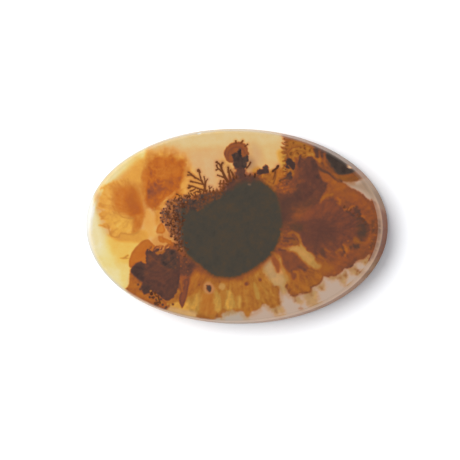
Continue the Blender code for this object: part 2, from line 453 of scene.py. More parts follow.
# The dark core, the plumes and fans round it, and the darker and paler places in them
plumes = dict(
    lowerField=dict(stain=0.625, rose=0.3, grain=0.5, rough=0.25, rim=0.35, fibre=1.1, mottle=1.1, area=[
        (-8.25, -5), (-0.45, -5.55), (6.85, -4.15), (5.2, -5.65), (4.7, -6.8), (5.55, -8.1), (6.55, -9.25),
        (7.75, -9.9), (7.85, -11.35), (8, -12.35), (7.45, -13), (6.6, -13.3), (5.95, -12.9), (5.25, -12.8),
        (4.6, -13.3), (3.95, -13.8), (3.4, -14), (2.95, -14.65), (2.55, -14.9), (2.15, -14.5), (1.8, -14.05),
        (1.3, -13.9), (0.8, -14), (0.15, -13.7), (-0.45, -13.9), (-1, -14.1), (-1.6, -14.45), (-1.85, -15),
        (-3.15, -15.2), (-4.3, -15.15), (-5.5, -14.95), (-6.15, -14.65), (-6.75, -14.25), (-7.9, -13.95),
        (-9.3, -13.7), (-10.95, -13.75), (-13.65, -12.8), (-12, -10.65), (-9.05, -7.3)]),
    lowerFieldLeft=dict(stain=0.62, rose=0.45, soft=0.7, fibre=0.9, mottle=0.8, area=[
        (-7.75, -6.3), (-4.6, -7.6), (-4.55, -9.9), (-5.5, -11.35), (-7.35, -11.25), (-8.05, -8.95)]),
    orangeTongue=dict(stain=0.56, rose=0.5, fibre=0.8, area=[
        (-4.85, -11.05), (-3.35, -11.2), (-2.85, -12.15), (-2.5, -14.15), (-4.15, -14.5), (-5.35, -14),
        (-5.35, -12.2)]),
    streakA=dict(stain=0.48, rose=0.1, soft=0.9, rough=0.4, fibre=1, mottle=1, area=[
        (-5.45, -10.55), (-5.2, -11.55), (-5.4, -12.85), (-5.65, -13.9), (-6.65, -13.95), (-7.65, -13.35),
        (-8, -12.7), (-7.35, -12.05), (-6.5, -11.55), (-5.85, -10.95)]),
    streakB=dict(stain=0.46, rose=0.05, soft=0.7, rough=0.3, grain=0.4, fibre=0.8, mottle=0.8, area=[
        (-2.8, -10.5), (-2.3, -11), (-1.85, -12), (-1.7, -13.15), (-1.95, -14.05), (-2.4, -14.2),
        (-2.85, -13.3), (-2.95, -12)]),
    streakC=dict(stain=0.46, rose=0, soft=0.7, rough=0.3, grain=0.4, fibre=0.8, mottle=0.8, area=[
        (-0.9, -10.6), (-0.3, -10.75), (0.1, -11.45), (0.55, -12.45), (0.55, -13.25), (-0.2, -13.6),
        (-1, -13.6), (-1.25, -13.15), (-1.05, -11.8)]),
    streakD=dict(stain=0.43, rose=0, soft=0.7, rough=0.2, area=[
        (1.05, -11.45), (1.35, -11.45), (1.5, -12.6), (1.3, -13.35), (0.95, -13.1), (0.85, -12.1)]),
    streakE=dict(stain=0.53, rose=0.05, soft=0.4, area=[
        (3.4, -9.15), (3.9, -9.45), (4.4, -10.6), (4.6, -11.75), (3.95, -11.9), (3.6, -10.75)]),
    streakF=dict(stain=0.42, rose=0.05, mottle=1, area=[
        (-8.5, -12.4), (-7.35, -12.7), (-7, -13.85), (-8, -13.95), (-9.3, -13.55), (-10.65, -13.25),
        (-10, -12.75)]),
    oliveFoot=dict(stain=0.4, rose=0, haze=0.3, soft=0.8, area=[
        (-11.5, -12.9), (-10.3, -13.25), (-8.65, -13.65), (-7, -13.95), (-6, -14.25), (-5.95, -15.3),
        (-8.65, -15), (-11.45, -14.05)]),
    paleSpot=dict(stain=0.48, rose=0.2, haze=0.1, soft=0.4, rough=0.15, grain=0.3, area=[
        (-2.25, -9.75), (-1.9, -9.35), (-1.4, -9.45), (-1.2, -9.85), (-1.45, -10.3), (-2.05, -10.35)]),
    eyeHalo=dict(stain=0.47, haze=0.18, soft=0.6, rough=0.15, grain=0.4, rim=0.2, area=[
        (-4.7, -9.7), (-4.3, -9.2), (-3.65, -9.2), (-3.15, -9.8), (-3.05, -10.5), (-3.45, -11.05),
        (-4.1, -11.1), (-4.6, -10.55)]),
    streakShade=dict(stain=0.585, rose=0.35, soft=0.3, area=[
        (-1.9, -10.65), (-1.2, -10.85), (-1.2, -12.15), (-1.5, -13.15), (-1.8, -12)]),
    brownUnderlay=dict(stain=0.74, rose=0.55, rough=0.3, mottle=1, area=[
        (8.75, 14.9), (11.7, 15.95), (15.9, 14.65), (19.2, 12.75), (21.9, 9.5), (21.25, 8.5), (19.3, 7.5),
        (17.8, 7.45), (19.3, 5.85), (18.55, -0.4), (16.15, -5.7), (12, -5.75), (10.45, -3.8), (11.6, -2.8),
        (10.75, -1.5), (9.45, -0.7), (7.8, -0.55), (7.05, 3.55), (6.7, 5.7), (7.7, 6.7), (9, 7.35),
        (10, 8.35), (9.95, 11), (8.8, 11.45)]),
    diagonalBed=dict(stain=0.7, soft=0.8, mottle=0.8, area=[
        (6.15, -4.15), (7.45, -2.2), (9.45, -0.5), (11.4, -0.5), (15.45, -5.35), (15.15, -7.65),
        (11.2, -8.4), (9.2, -8.05), (7.85, -6.8)]),
    amberFan=dict(stain=0.75, rose=0.75, soft=0.3, grain=0.5, rough=0.25, rim=0.4, fibre=0.5, mottle=0.7,
        area=[
        (16.8, 7.6), (17.95, 7.2), (18.95, 6.65), (19.95, 6.25), (20.95, 5.75), (21.8, 5.05), (22.4, 4.6),
        (22.75, 4.1), (23.05, 3.1), (23.65, 2.3), (26, 2.3), (26.35, -1.3), (25.4, -3.1), (23.3, -3.3),
        (22.85, -3.9), (22.25, -4.5), (21.45, -5.1), (20.45, -5.35), (20.05, -5.8), (19.8, -6.3),
        (18.95, -6.65), (18.3, -6.8), (18, -7.3), (17.3, -7.75), (16.35, -8), (15, -8), (12.85, -7.35),
        (10.45, -2.15), (8.4, 1.1), (11.05, 4.45), (14, 6.1), (15.3, 7.1)]),
    kneeLobe=dict(stain=0.67, rose=0.45, soft=0.3, grain=0.5, rough=0.22, rim=0.7, fibre=0.8, mottle=0.6,
        area=[
        (9.25, -7.1), (11.15, -6.4), (13.15, -6.7), (14.9, -7.5), (14.9, -8.15), (14.75, -8.85),
        (14.2, -9.4), (13.6, -9.65), (13.1, -9.9), (13, -10.35), (12.65, -10.7), (11.9, -10.9), (11.05, -11),
        (10.65, -11.3), (9.9, -11.3), (9.35, -11.05), (9.05, -10.45), (8.7, -9.9), (8.95, -9.25),
        (9.1, -8.25)]),
    kneeDark=dict(stain=0.79, rose=0.85, soft=0.65, rough=0.35, grain=0.5, fibre=0.2, mottle=0.3, area=[
        (8, -3.9), (9.15, -3.95), (10.3, -4.45), (11, -5.2), (11.65, -5.85), (12.4, -6.8), (11.65, -7.2),
        (10.65, -6.9), (9.85, -7.35), (8.95, -7.15), (8.4, -6.3), (8.1, -5.05)]),
    redFlame=dict(stain=0.72, rose=0.75, soft=0.55, rough=0.2, area=[
        (6.35, -5), (7, -5.05), (7.65, -5.8), (7.85, -6.8), (7.65, -7.5), (7.2, -7.35), (6.75, -6.45),
        (6.4, -5.65)]),
    redSpot=dict(stain=0.77, rose=0.85, rough=0.15, area=[
        (9.7, -7.6), (10.25, -7.55), (10.35, -8.3), (10.05, -8.7), (9.7, -8.3)]),
    fanFootLight=dict(stain=0.68, rose=0.4, soft=1.6, rough=0.3, area=[
        (13.65, -5.55), (15.15, -5.7), (16.3, -6.5), (15.65, -7.5), (14, -7.2)]),
    yellowDiagonal=dict(stain=0.5, rose=0.1, haze=0.06, soft=0.6, rough=0.2, mottle=0.8, area=[
        (7.95, -3.1), (8.8, -3.15), (9.4, -2.75), (9.9, -2.6), (10.45, -3), (10.95, -3.15), (10.9, -2.2),
        (10.65, -1.55), (10.1, -1.2), (9.45, -1.15), (9.5, -0.85), (10.35, -0.75), (10.95, -1.35),
        (11.25, -2.2), (11.6, -3.1), (12.2, -3.7), (12.9, -4.3), (13.4, -4.8), (13.7, -5.5), (14.5, -6.2),
        (14, -6.85), (13.25, -6.75), (12.4, -6.2), (11.65, -5.45), (11, -4.8), (10.5, -4.2), (9.65, -3.9),
        (8.65, -3.8), (8, -3.5)]),
    diagonalLight=dict(stain=0.45, rose=0.2, haze=0.12, soft=0.8, areas=[
        [(10.8, -3.6), (11.45, -3.8), (12.3, -4.4), (12.9, -5.25), (12.5, -5.55), (11.65, -4.9),
        (10.95, -4.3)], [(8.65, -3.3), (9.45, -3.05), (10.45, -3.2), (10.8, -3.8), (9.45, -3.7)]]),
    beigeBlob=dict(stain=0.72, rose=0.4, soft=0.7, rough=0.3, area=[
        (8.05, -0.85), (8.45, -0.45), (9.25, -0.7), (9.2, -1.35), (8.55, -1.55), (8.1, -1.35)]),
    archHole=dict(stain=0.77, rough=0.2, mottle=1, area=[
        (9.45, -1.6), (10.1, -1.5), (10.55, -2.15), (10.55, -2.7), (10.05, -2.4), (9.3, -2.35)]),
    paleByFlame=dict(stain=0.52, rose=0.2, soft=0.6, haze=0.05, rough=0.15, area=[
        (6.65, -4.25), (7.4, -4.55), (8, -5.3), (8.3, -6.45), (8.75, -7.25), (9.3, -8.05), (9.2, -9.2),
        (8.7, -8.55), (8.25, -7.65), (8, -6.75), (7.65, -5.7), (7.1, -4.9)]),
    betweenCoreAndFan=dict(stain=0.775, rose=0.85, soft=0.8, rough=0.35, ray=0.2, mottle=1.4, fibre=0.7,
        area=[
        (7.05, 3.9), (9.7, 3.45), (11.05, 2.15), (11.55, 0.8), (11.45, -0.65), (10.75, -1), (10.3, -1.8),
        (10.6, -2.65), (9.95, -3.15), (8.15, -3.65), (7, -4.15), (6.45, 1.1)]),
    orangeSaddle=dict(stain=0.78, rose=0.75, soft=0.9, rough=0.3, fibre=0.6, mottle=0.6, area=[
        (8.4, 3.25), (11.55, 3.3), (13.55, 4.05), (14.7, 4.45), (14.7, 3.65), (13.05, 2.3), (11.75, 1),
        (10.1, 0.4), (8.4, 2.1)]),
    fanDark=dict(stain=0.805, rose=1, grain=0.4, rough=0.35, ray=0.2, fibre=0.2, mottle=0.3, area=[
        (9.95, -0.2), (11.05, 1.15), (12.4, 2.45), (13.7, 3.5), (14.7, 4.3), (15.35, 4.55), (16, 4.65),
        (16.5, 4.8), (16.85, 4.5), (17.1, 4), (17.35, 3.6), (17.85, 3.35), (18.35, 3.1), (18.35, 2.7),
        (19, 2.65), (19.7, 2.9), (20, 3.15), (20.6, 3.25), (20.7, 2.4), (21.2, 1.95), (21.35, 1.45),
        (22, 0.8), (22.45, 0.15), (22.55, -0.5), (22.4, -1.35), (21.9, -1.8), (21.4, -2.15), (20.9, -2.1),
        (20.55, -1.65), (19.9, -1.6), (19.55, -2.3), (18.9, -2.35), (18.25, -2.65), (18, -3.05),
        (17.6, -3.3), (17.1, -3.55), (16.95, -3.95), (16.3, -4.15), (15.6, -4.15), (15.15, -4.8),
        (14.45, -4.4), (13.65, -4.5), (12.8, -4.1), (11.85, -3.35), (11.35, -2.45), (11.1, -1.75),
        (10.6, -0.85)]),
    fanDarkRoot=dict(stain=0.84, rose=1, soft=2.6, area=[
        (10.1, -0.2), (11.75, 0.65), (14.05, 0.7), (16.4, 0.2), (17.4, -1.1), (15.75, -2.9), (13.1, -2.95),
        (11.45, -1.8)]),
    fanRoot=dict(stain=0.86, soft=0.8, area=[
        (9.25, 0.3), (10.25, 0.65), (11.4, 0.35), (11.4, -0.5), (10.45, -0.75), (9.45, -0.45)]),
    fanDarkTop=dict(stain=0.77, rose=1, soft=1.6, mottle=0.2, area=[
        (11.4, 1.8), (13.05, 3.15), (14.7, 4), (16.2, 4.35), (17, 3.5), (16.7, 2.35), (14.4, 2.15),
        (12.4, 1.35)]),
    fanRimDark=dict(stain=0.78, rose=0.8, soft=0.9, rough=0.3, mottle=0.8, area=[
        (22.5, 1.3), (23.35, 2.1), (24.35, 1.3), (24.4, -2), (23.4, -3.3), (22.25, -4.45), (20.95, -5.2),
        (19.95, -5.65), (19.95, -4.8), (21.25, -4), (22.25, -2.8), (22.8, -1.35), (22.85, 0.15)]),
    fanDarkLobe=dict(stain=0.87, soft=1.1, rough=0.3, grain=0.5, mottle=0.6, area=[
        (20.35, 0.45), (20.85, 0.85), (21.45, 0.85), (21.95, 0.45), (22.2, -0.2), (22.15, -0.85),
        (21.8, -1.45), (21.4, -1.75), (21.15, -2.25), (20.75, -2.1), (20.5, -1.55), (20.3, -0.55)]),
    fanHook=dict(stain=0.87, soft=0.35, rough=0.25, grain=0.4, area=[
        (19.65, -2.6), (20, -2.75), (20.3, -2.6), (20.8, -2.5), (20.9, -3.15), (20.4, -3.4), (19.9, -3.25)]),
    fanBlot=dict(stain=0.86, rose=0.8, area=[
        (14.35, -3.6), (14.95, -3.4), (15.2, -4.15), (15.1, -4.9), (14.45, -4.4)]),
    tanBesideLobe=dict(stain=0.74, rose=0.4, soft=0.45, area=[
        (19.75, -1.6), (20.25, -1.55), (20.75, -2), (21.25, -2.45), (20.65, -2.65), (19.9, -2.5)]),
    amberPlume=dict(stain=0.65, rose=0.3, soft=0.3, grain=0.4, rough=0.2, rim=0.4, fibre=0.8, mottle=1.2,
        curl=0.5, area=[
        (7.75, 14.7), (8.25, 15.25), (11.55, 14.95), (13.55, 14), (14.25, 13), (14.25, 11.05), (13.8, 10.55),
        (12.3, 11), (10.95, 11.15), (10.65, 10.65), (10.65, 7.7), (9.65, 7.35), (8.65, 8), (8.55, 9),
        (8.5, 9.8), (8.4, 11.15), (8.6, 11.8), (8.1, 12.05), (7.85, 12.25), (8.55, 12.6), (7.95, 12.75),
        (7.8, 13), (8.5, 13.25), (8.2, 13.5), (8.85, 13.7), (8.45, 14.1), (7.95, 14.4)]),
    amberHeart=dict(stain=0.57, rose=0.25, rough=0.3, grain=0.4, mottle=1.6, area=[
        (9.3, 12.35), (10.25, 12.9), (11.9, 13), (13.1, 12.85), (13.25, 11.7), (12.25, 11.4), (10.95, 11.8),
        (9.95, 11.3), (9.1, 11.65)]),
    rearDark=dict(stain=0.835, rose=0.95, rough=0.3, grain=0.5, rim=0.2, fibre=0.2, mottle=0.4, area=[
        (10.4, 10.5), (10.55, 11), (10.8, 11.5), (10.95, 11.75), (11.2, 11.35), (11.55, 11.1),
        (11.95, 11.35), (12.45, 11.5), (12.95, 11.25), (13.45, 10.95), (13.7, 10.55), (14.05, 9.7),
        (13.95, 9.25), (14.15, 8.55), (14.5, 7.75), (15, 7.5), (15.5, 7.3), (15.4, 6.6), (15.1, 5.95),
        (14.65, 5.15), (14.35, 4.45), (13.55, 4.05), (12.35, 3.7), (11.05, 3.6), (9.4, 3.75), (7.4, 3.9),
        (6.4, 5.2), (7.7, 5.55), (9.05, 5.45), (9.85, 6.05), (9.9, 7.05), (10.35, 8.05), (10.4, 9.35)]),
    rearDarkDeep=dict(stain=0.86, rose=1, soft=0.8, mottle=0.5, area=[
        (9.85, 6.05), (11.35, 6.9), (13, 6.4), (12.7, 4.8), (11.05, 3.95), (9.05, 4.4)]),
    rearDarkColumn=dict(stain=0.88, rose=0.9, mottle=0.5, area=[
        (12.8, 10.85), (13.6, 10.55), (13.95, 9.05), (14.15, 7.9), (13.3, 8.25), (12.8, 9.55)]),
    rearFoot=dict(stain=0.835, rose=0.8, soft=1.2, mottle=0.6, area=[
        (8.4, 4.55), (11.05, 4.25), (13.85, 4.95), (13.2, 3.65), (11.05, 2.95), (9.05, 3.25)]),
    emberTexture=dict(stain=0.725, rose=0.75, soft=1.6, rough=0.5, mottle=2.2, curl=0.4, area=[
        (6.7, 6.35), (7.2, 7.15), (8.15, 7.7), (9.5, 7.85), (10.5, 8.35), (10.65, 7.05), (10.35, 5.75),
        (9.05, 5.25), (7.35, 5.55)]),
    darkKnobA=dict(stain=0.94, rose=0.75, soft=0.35, rough=0.3, grain=0.5, area=[
        (8.65, 10.95), (8.95, 11.2), (9.4, 11.05), (9.7, 10.75), (10.05, 10.4), (10.15, 9.85), (9.8, 9.35),
        (9.3, 9.35), (8.8, 9.4), (8.55, 9.75), (8.3, 9.8), (8.3, 10.05), (8.65, 10.2), (8.5, 10.65)]),
    redByKnobs=dict(stain=0.765, rose=0.85, rough=0.2, mottle=0.8, area=[
        (9.95, 11.3), (10.45, 11), (10.55, 9.35), (10.6, 7.55), (10, 6.55), (9.2, 6.7), (9.15, 7.7),
        (9.85, 8.05), (10, 9.35), (10.2, 10.15)]),
    darkKnobB=dict(stain=0.9, rose=0.75, soft=0.3, rough=0.3, mottle=1, area=[
        (8.65, 8.5), (9, 8.85), (9.5, 8.95), (9.65, 8.35), (9.35, 7.75), (8.75, 7.85), (8.4, 8.1)]),
    rustColumn=dict(stain=0.77, soft=0.35, rough=0.25, mottle=1.8, curl=0.5, area=[
        (13.9, 13.65), (15.25, 13.35), (15.4, 12.05), (15.6, 10.9), (16.25, 9.9), (17.1, 9.1), (16.95, 8.5),
        (15.8, 9.35), (14.6, 10.05), (14.1, 11.05)]),
    rustGlow=dict(stain=0.63, rose=0.35, soft=0.4, rough=0.2, mottle=1.2, area=[
        (13.45, 11.35), (14.2, 11.55), (14.35, 10.85), (14.1, 10.45), (13.6, 10.7)]),
    darkBlock=dict(stain=0.88, rose=0.75, soft=0.45, rough=0.15, grain=0.4, mottle=1.2, area=[
        (12.6, 13.5), (13.9, 13.15), (15.4, 12.55), (15.4, 11.85), (15, 11.7), (14.65, 12.1), (14.6, 11.45),
        (14.25, 11.3), (14.05, 11.85), (13.9, 11.3), (13.45, 11.35), (13.2, 12.15), (12.9, 12.85)]),
    orangeShoulder=dict(stain=0.705, rose=0.75, soft=0.8, rough=0.3, fibre=0.5, mottle=0.4, area=[
        (14.05, 9.25), (14.95, 8.9), (15.95, 8.45), (16.95, 7.6), (18.15, 7.15), (19.65, 6.2), (21.15, 5.05),
        (22.15, 3.4), (21, 3.4), (19.35, 4.2), (17.65, 4.85), (16.15, 5.65), (15.15, 6.1), (15.5, 7.1),
        (14.65, 7.7), (14.2, 8.55)]),
    bandUnderWedge=dict(stain=0.76, rose=0.2, rough=0.2, mottle=0.6, area=[
        (17.3, 8.3), (18.45, 8.15), (19.6, 8.3), (20.6, 8.9), (21.25, 8.8), (21.1, 8.1), (20.1, 7.5),
        (18.8, 7.45), (17.8, 7.5)]),
    wedgeShade=dict(stain=0.83, soft=0.6, rough=0.2, area=[
        (15.2, 11.05), (15.95, 10.25), (16.8, 9.5), (17.6, 8.8), (17.1, 8.7), (16.1, 9.25), (15.25, 10.25)]),
    darkWedge=dict(stain=0.945, rose=0.4, soft=0.4, rough=0.12, grain=0.5, mottle=0.5, area=[
        (15, 12.5), (15.9, 13.05), (17.55, 12.4), (19.6, 10.75), (20.4, 9.8), (19.85, 9.35), (19.35, 8.9),
        (18.6, 8.7), (17.8, 8.6), (17.1, 8.75), (16.7, 9.2), (16.45, 9.65), (15.95, 10), (15.6, 10.65),
        (15.25, 11.3), (15, 11.85)]),
    tanSpot=dict(stain=0.655, rose=0.4, soft=0.4, rough=0.15, grain=0.4, area=[
        (14.2, 3.8), (14.35, 4.55), (14.75, 5.15), (15.5, 5.5), (16.5, 5.45), (16, 5.05), (15.25, 4.9),
        (14.85, 4.55), (14.5, 4.15)]),
    leftPlume=dict(stain=0.35, soft=0.6, ray=0.4, rough=0.35, mottle=0.5, curl=0.15, fibre=1.2, strand=0.8,
        raysFrom=(-15.3, 1.95), area=[
        (-22.2, 4), (-22, 5), (-21.65, 6), (-21, 6.65), (-20.2, 7), (-18.85, 7.2), (-17.55, 7.2),
        (-16.55, 6.9), (-15.7, 6.25), (-15.35, 5.25), (-15.1, 4.1), (-14.8, 2.8), (-14.8, 1.65),
        (-15.05, 0.5), (-15.45, -0.5), (-15.95, -1.25), (-16.75, -1.65), (-17.4, -1.6), (-18.1, -1.45),
        (-18.6, -1.45), (-18.75, -1.75), (-19.25, -2), (-19.9, -1.95), (-20.25, -1.55), (-20.35, -0.7),
        (-20.9, -0.25), (-21.6, -0.3), (-21.85, -0.1), (-21.4, 0.4), (-21.6, 0.85), (-22, 0.9),
        (-21.75, 1.3), (-22.25, 1.65), (-21.95, 2.05), (-21.45, 2.3), (-21.85, 2.45), (-22.3, 2.7),
        (-22.1, 3.35)]),
    leftPlumeHeart=dict(stain=0.455, rose=0.95, soft=2, mottle=0.4, curl=0.25, fibre=0.6, strand=0.8,
        raysFrom=(-15.15, 1.95), area=[
        (-20.15, 5.55), (-19.15, 6.2), (-17.2, 6.55), (-15.85, 6.05), (-15.15, 4.45), (-14.9, 2.8),
        (-15.15, 1.3), (-16.15, 1.2), (-17.45, 1.35), (-18.6, 1.85), (-19.8, 2.9)]),
    leftPlumeCentre=dict(stain=0.585, rose=1, soft=1.6, mottle=0.3, area=[
        (-17.5, 5.25), (-16.85, 6.05), (-16, 5.6), (-15.5, 4.25), (-15, 2.8), (-15.05, 1.65), (-16.15, 1.2),
        (-17.15, 1.6), (-17.8, 2.75), (-18, 4.05)]),
    leftPlumeTail=dict(stain=0.48, rose=0.9, soft=0.7, mottle=0.6, curl=0.3, area=[
        (-16.65, 1.45), (-14.95, 1.8), (-14.9, 0.85), (-15.2, -0.5), (-15.95, -1.3), (-16.7, -1.25),
        (-16.8, 0.15)]),
    leftPlumeLight=dict(stain=0.335, rose=0.25, soft=1.4, mottle=0.5, curl=0.25, fibre=0.4, strand=0.8,
        raysFrom=(-16.15, 1.8), area=[
        (-21.1, 0.2), (-20.95, 1.1), (-20.45, 1.85), (-19.6, 1.9), (-18.8, 1.45), (-17.95, 1.1),
        (-16.95, 0.95), (-16.7, 0.15), (-16.85, -0.65), (-17.75, -1.1), (-18.75, -1.25), (-19.15, -1.6),
        (-19.85, -1.35), (-20.15, -0.55)]),
    # Partly milky stone, partly a painted glow of the key light on the left rim.
    milkyRimAndGlow=dict(stain=0, rose=0.3, soft=0.6, area=[
        (-25.4, -1.95), (-25.45, 3.15), (-24.45, 5.65), (-23.2, 7.95), (-22.6, 7.55), (-22.9, 6),
        (-22.9, 4.5), (-22.95, 2.85), (-23.35, 1.05), (-23.55, -1.25), (-23.8, -2.55)]),
    middlePlume=dict(stain=0.4, rose=0.7, soft=1.8, ray=0.4, rough=0.5, mottle=1, curl=0.1, fibre=0.7,
        strand=0.8, raysFrom=(-13.15, 3), area=[
        (-14.55, 11), (-14.35, 11.65), (-13.6, 12.1), (-12.3, 12.25), (-10.95, 12.3), (-9.45, 12.05),
        (-8.3, 11.4), (-7.55, 10.6), (-7.6, 9.45), (-7.9, 8.15), (-8.25, 6.8), (-8.9, 5.85), (-9.85, 5),
        (-10.85, 4.35), (-11.7, 3.5), (-12.5, 2.85), (-13, 2.35), (-13.5, 2.8), (-14.15, 3.65),
        (-14.7, 4.75), (-15.05, 6.1), (-14.95, 7.7), (-14.9, 9.85)]),
    middlePlumeBody=dict(stain=0.55, rose=1, soft=1.1, rough=0.5, ray=0.3, mottle=0.7, curl=0.4, fibre=1,
        strand=0.8, raysFrom=(-13.15, 3), area=[
        (-14.4, 10.05), (-13.75, 10.7), (-12.75, 11.35), (-11.3, 11.4), (-9.6, 10.9), (-8.3, 10.45),
        (-8, 9.45), (-8.4, 8.15), (-8.75, 6.8), (-9.2, 5.8), (-10.2, 5.15), (-11.2, 4.5), (-12.15, 3.5),
        (-13, 3.05), (-13.85, 3.65), (-14.35, 4.6), (-14.35, 6.1), (-14.65, 7.75), (-14.65, 9.35)]),
    plumeFlank=dict(stain=0.5, rose=1, soft=0.8, rough=0.4, mottle=0.6, area=[
        (-15.15, 8.85), (-14.3, 9.2), (-13.9, 7.4), (-14.1, 5.45), (-14.6, 5.6), (-15.1, 7.05)]),
    middlePlumeDeep=dict(stain=0.59, rose=1, soft=1, rough=0.5, mottle=2, curl=0.3, area=[
        (-13.9, 7.4), (-12.9, 7.75), (-12.2, 6.95), (-11.25, 7.45), (-9.9, 7.45), (-9.05, 6.8), (-9.2, 6),
        (-10.35, 5.5), (-11.2, 4.8), (-12.2, 3.8), (-13.15, 3.65), (-14, 4.45), (-14.3, 5.75)]),
    plumeTip=dict(stain=0.6, rose=1, soft=0.9, rough=0.4, mottle=1, area=[
        (-14.7, 4.6), (-13.85, 4.45), (-12.5, 4.45), (-12.1, 3.8), (-12.4, 3), (-13, 2.5), (-13.65, 2.9),
        (-14.5, 3.3)]),
    plumeBlotA=dict(stain=0.73, rose=1, soft=0.7, rough=0.2, grain=0.5, mottle=1, area=[
        (-14.35, 5.95), (-13.55, 6), (-13.1, 5.6), (-13.1, 4.8), (-13.7, 4.35), (-14.25, 4.8)]),
    plumeBlotB=dict(stain=0.7, rose=1, soft=0.6, rough=0.2, grain=0.5, area=[
        (-12.6, 6.2), (-11.95, 6.35), (-11.7, 5.8), (-12.1, 5.3), (-12.55, 5.45)]),
    plumeBlotC=dict(stain=0.66, rose=1, soft=0.6, rough=0.3, mottle=1, area=[
        (-12.2, 7.2), (-11.25, 7.4), (-10.05, 7.25), (-9.75, 6.8), (-10.7, 6.65), (-11.95, 6.6)]),
    shell=dict(stain=0.56, rose=0.9, soft=0.25, rough=0.06, rim=0.5, mottle=0.5, area=[
        (-17.1, -6.85), (-17.15, -5.95), (-16.95, -5.1), (-16.7, -4.45), (-16.15, -3.7), (-15.4, -2.95),
        (-14.85, -2.5), (-14.1, -2.35), (-13.65, -2.6), (-13.2, -3.1), (-12.75, -3.6), (-13.05, -4.4),
        (-13.55, -5.4), (-13.9, -6.4), (-15.05, -6.75), (-15.95, -6.9), (-16.45, -7.05)]),
    underDark=dict(stain=0.64, soft=0.3, rough=0.15, rim=0.5, mottle=1.4, area=[
        (-17.45, -10.6), (-17.15, -9.55), (-17, -8.4), (-16.7, -7.55), (-15.35, -8.35), (-13.65, -9.65),
        (-12, -11.6), (-10.3, -13.05), (-10.95, -13.65), (-12.3, -13.2), (-14.3, -12.4), (-15.95, -11.6)]),
    rustMottle=dict(stain=0.79, rose=0.8, rough=0.3, mottle=1.4, area=[
        (-9.75, -3.05), (-8.95, -3.55), (-7.95, -3.7), (-7.25, -5.15), (-6.85, -6.3), (-6.8, -7.6),
        (-7.05, -9.25), (-7.7, -10.6), (-8.5, -10.9), (-9.2, -9.6), (-9.4, -6), (-9.75, -4.35)]),
    rustMottleDark=dict(stain=0.8, rose=0.8, soft=1, rough=0.3, mottle=2, area=[
        (-9.45, -3.7), (-8.1, -4), (-7.25, -5.65), (-7.05, -6.95), (-7.7, -7.95), (-8.7, -7.65),
        (-9.25, -6)]),
    leafBlade=dict(stain=0.765, rose=0.95, soft=0.2, rim=0.5, area=[
        (-7.15, -8.95), (-7.3, -10.4), (-7.5, -11.55), (-7.75, -12.4), (-8.05, -13.2), (-8.3, -13.5),
        (-8.5, -13.15), (-8.75, -12.55), (-8.8, -11.75), (-8.5, -10.9), (-8.1, -9.95), (-7.9, -8.8)]),
    darkPatch=dict(stain=0.868, rose=0.9, soft=0.25, grain=0.45, rough=0.2, rim=0.2, mottle=0.6, area=[
        (-16.85, -7.55), (-16.7, -7.1), (-16.3, -6.6), (-15.7, -6.1), (-15.15, -5.95), (-14.8, -6.25),
        (-14.3, -6.3), (-14.35, -5.65), (-14.4, -5.1), (-14.35, -4.4), (-14.15, -3.95), (-13.85, -3.9),
        (-13.55, -4.25), (-13.25, -4.25), (-13, -4), (-12.5, -3.75), (-12.1, -3.75), (-12.1, -4.25),
        (-11.5, -4.05), (-11, -3.8), (-10.45, -3.55), (-9.75, -3.3), (-9.1, -3.7), (-8.85, -4.85),
        (-8.6, -6), (-8.65, -7.65), (-8.8, -9.1), (-8.95, -10.1), (-9.25, -10.95), (-9.6, -11.6),
        (-10, -12.05), (-10.55, -12.3), (-11.15, -12.25), (-11.65, -11.85), (-12.15, -11.4), (-12.85, -11.1),
        (-13.5, -11.05), (-14.25, -11.2), (-14.75, -11.25), (-14.9, -10.65), (-15.15, -10.35), (-15, -9.9),
        (-14.85, -9.5), (-15.15, -9.1), (-15.65, -8.7), (-16.25, -8.25), (-16.7, -7.9)]),
    darkPatchTip=dict(stain=0.93, rose=0.85, soft=0.8, area=[
        (-16.85, -7.55), (-16.35, -6.75), (-15.7, -6.25), (-14.85, -6.55), (-14.55, -7.55), (-14.7, -8.7),
        (-15, -9.35), (-15.65, -8.85), (-16.35, -8.2)]),
    patchFoot=dict(stain=0.915, rose=0.8, rough=0.2, area=[
        (-15, -9.7), (-14.15, -9.65), (-13.5, -10.3), (-13.65, -11.05), (-14.5, -11.2), (-14.9, -10.65)]),
    patchHoles=dict(stain=0.6, rose=0.4, soft=0.4, strength=0.9, rough=0.25, grain=0.4, areas=[
        [(-12.65, -4.75), (-12.5, -4.3), (-12.1, -4.15), (-11.9, -4.55), (-12.25, -4.9)],
        [(-11.9, -4.45), (-11.65, -4.05), (-11.1, -4.1), (-11.25, -4.65), (-11.75, -4.75)]]),
    patchCorner=dict(stain=0.72, rose=0.65, strength=0.9, rough=0.4, mottle=1.6, area=[
        (-10.2, -3.05), (-9.45, -2.95), (-8.6, -3.55), (-8.25, -4.65), (-8.9, -5), (-9.6, -4.6),
        (-10.1, -3.9)]),
    patchTeeth=dict(stain=0.8, rose=0.8, soft=0.25, rough=0.2, grain=0.4, width=0.26, paths=[
        [(-13.8, -4.15), (-13.4, -3.5)], [(-13.1, -4.1), (-12.65, -3.5), (-12.15, -3.65)],
        [(-12, -4.05), (-11.6, -3.4)], [(-11.15, -3.9), (-10.75, -3.15)], [(-10.45, -3.65), (-10, -2.9)],
        [(-9.7, -3.55), (-9.2, -2.95)]]),
    patchStripes=dict(stain=0.9, rose=0.7, soft=0.8, mottle=1.4, ripple=0.1, area=[
        (-11.75, -5.05), (-10.75, -4.05), (-9.45, -4.05), (-9.1, -5.65), (-9.2, -7.3), (-10.4, -7),
        (-11.55, -6.7)]),
    lobeA=dict(stain=0.46, rose=0.95, soft=0.35, rough=0.15, grain=0.35, rim=0.8, area=[
        (-12.8, -0.95), (-12.6, -0.4), (-12.2, 0.2), (-11.7, 0.3), (-11.3, -0.3), (-11.2, -0.85),
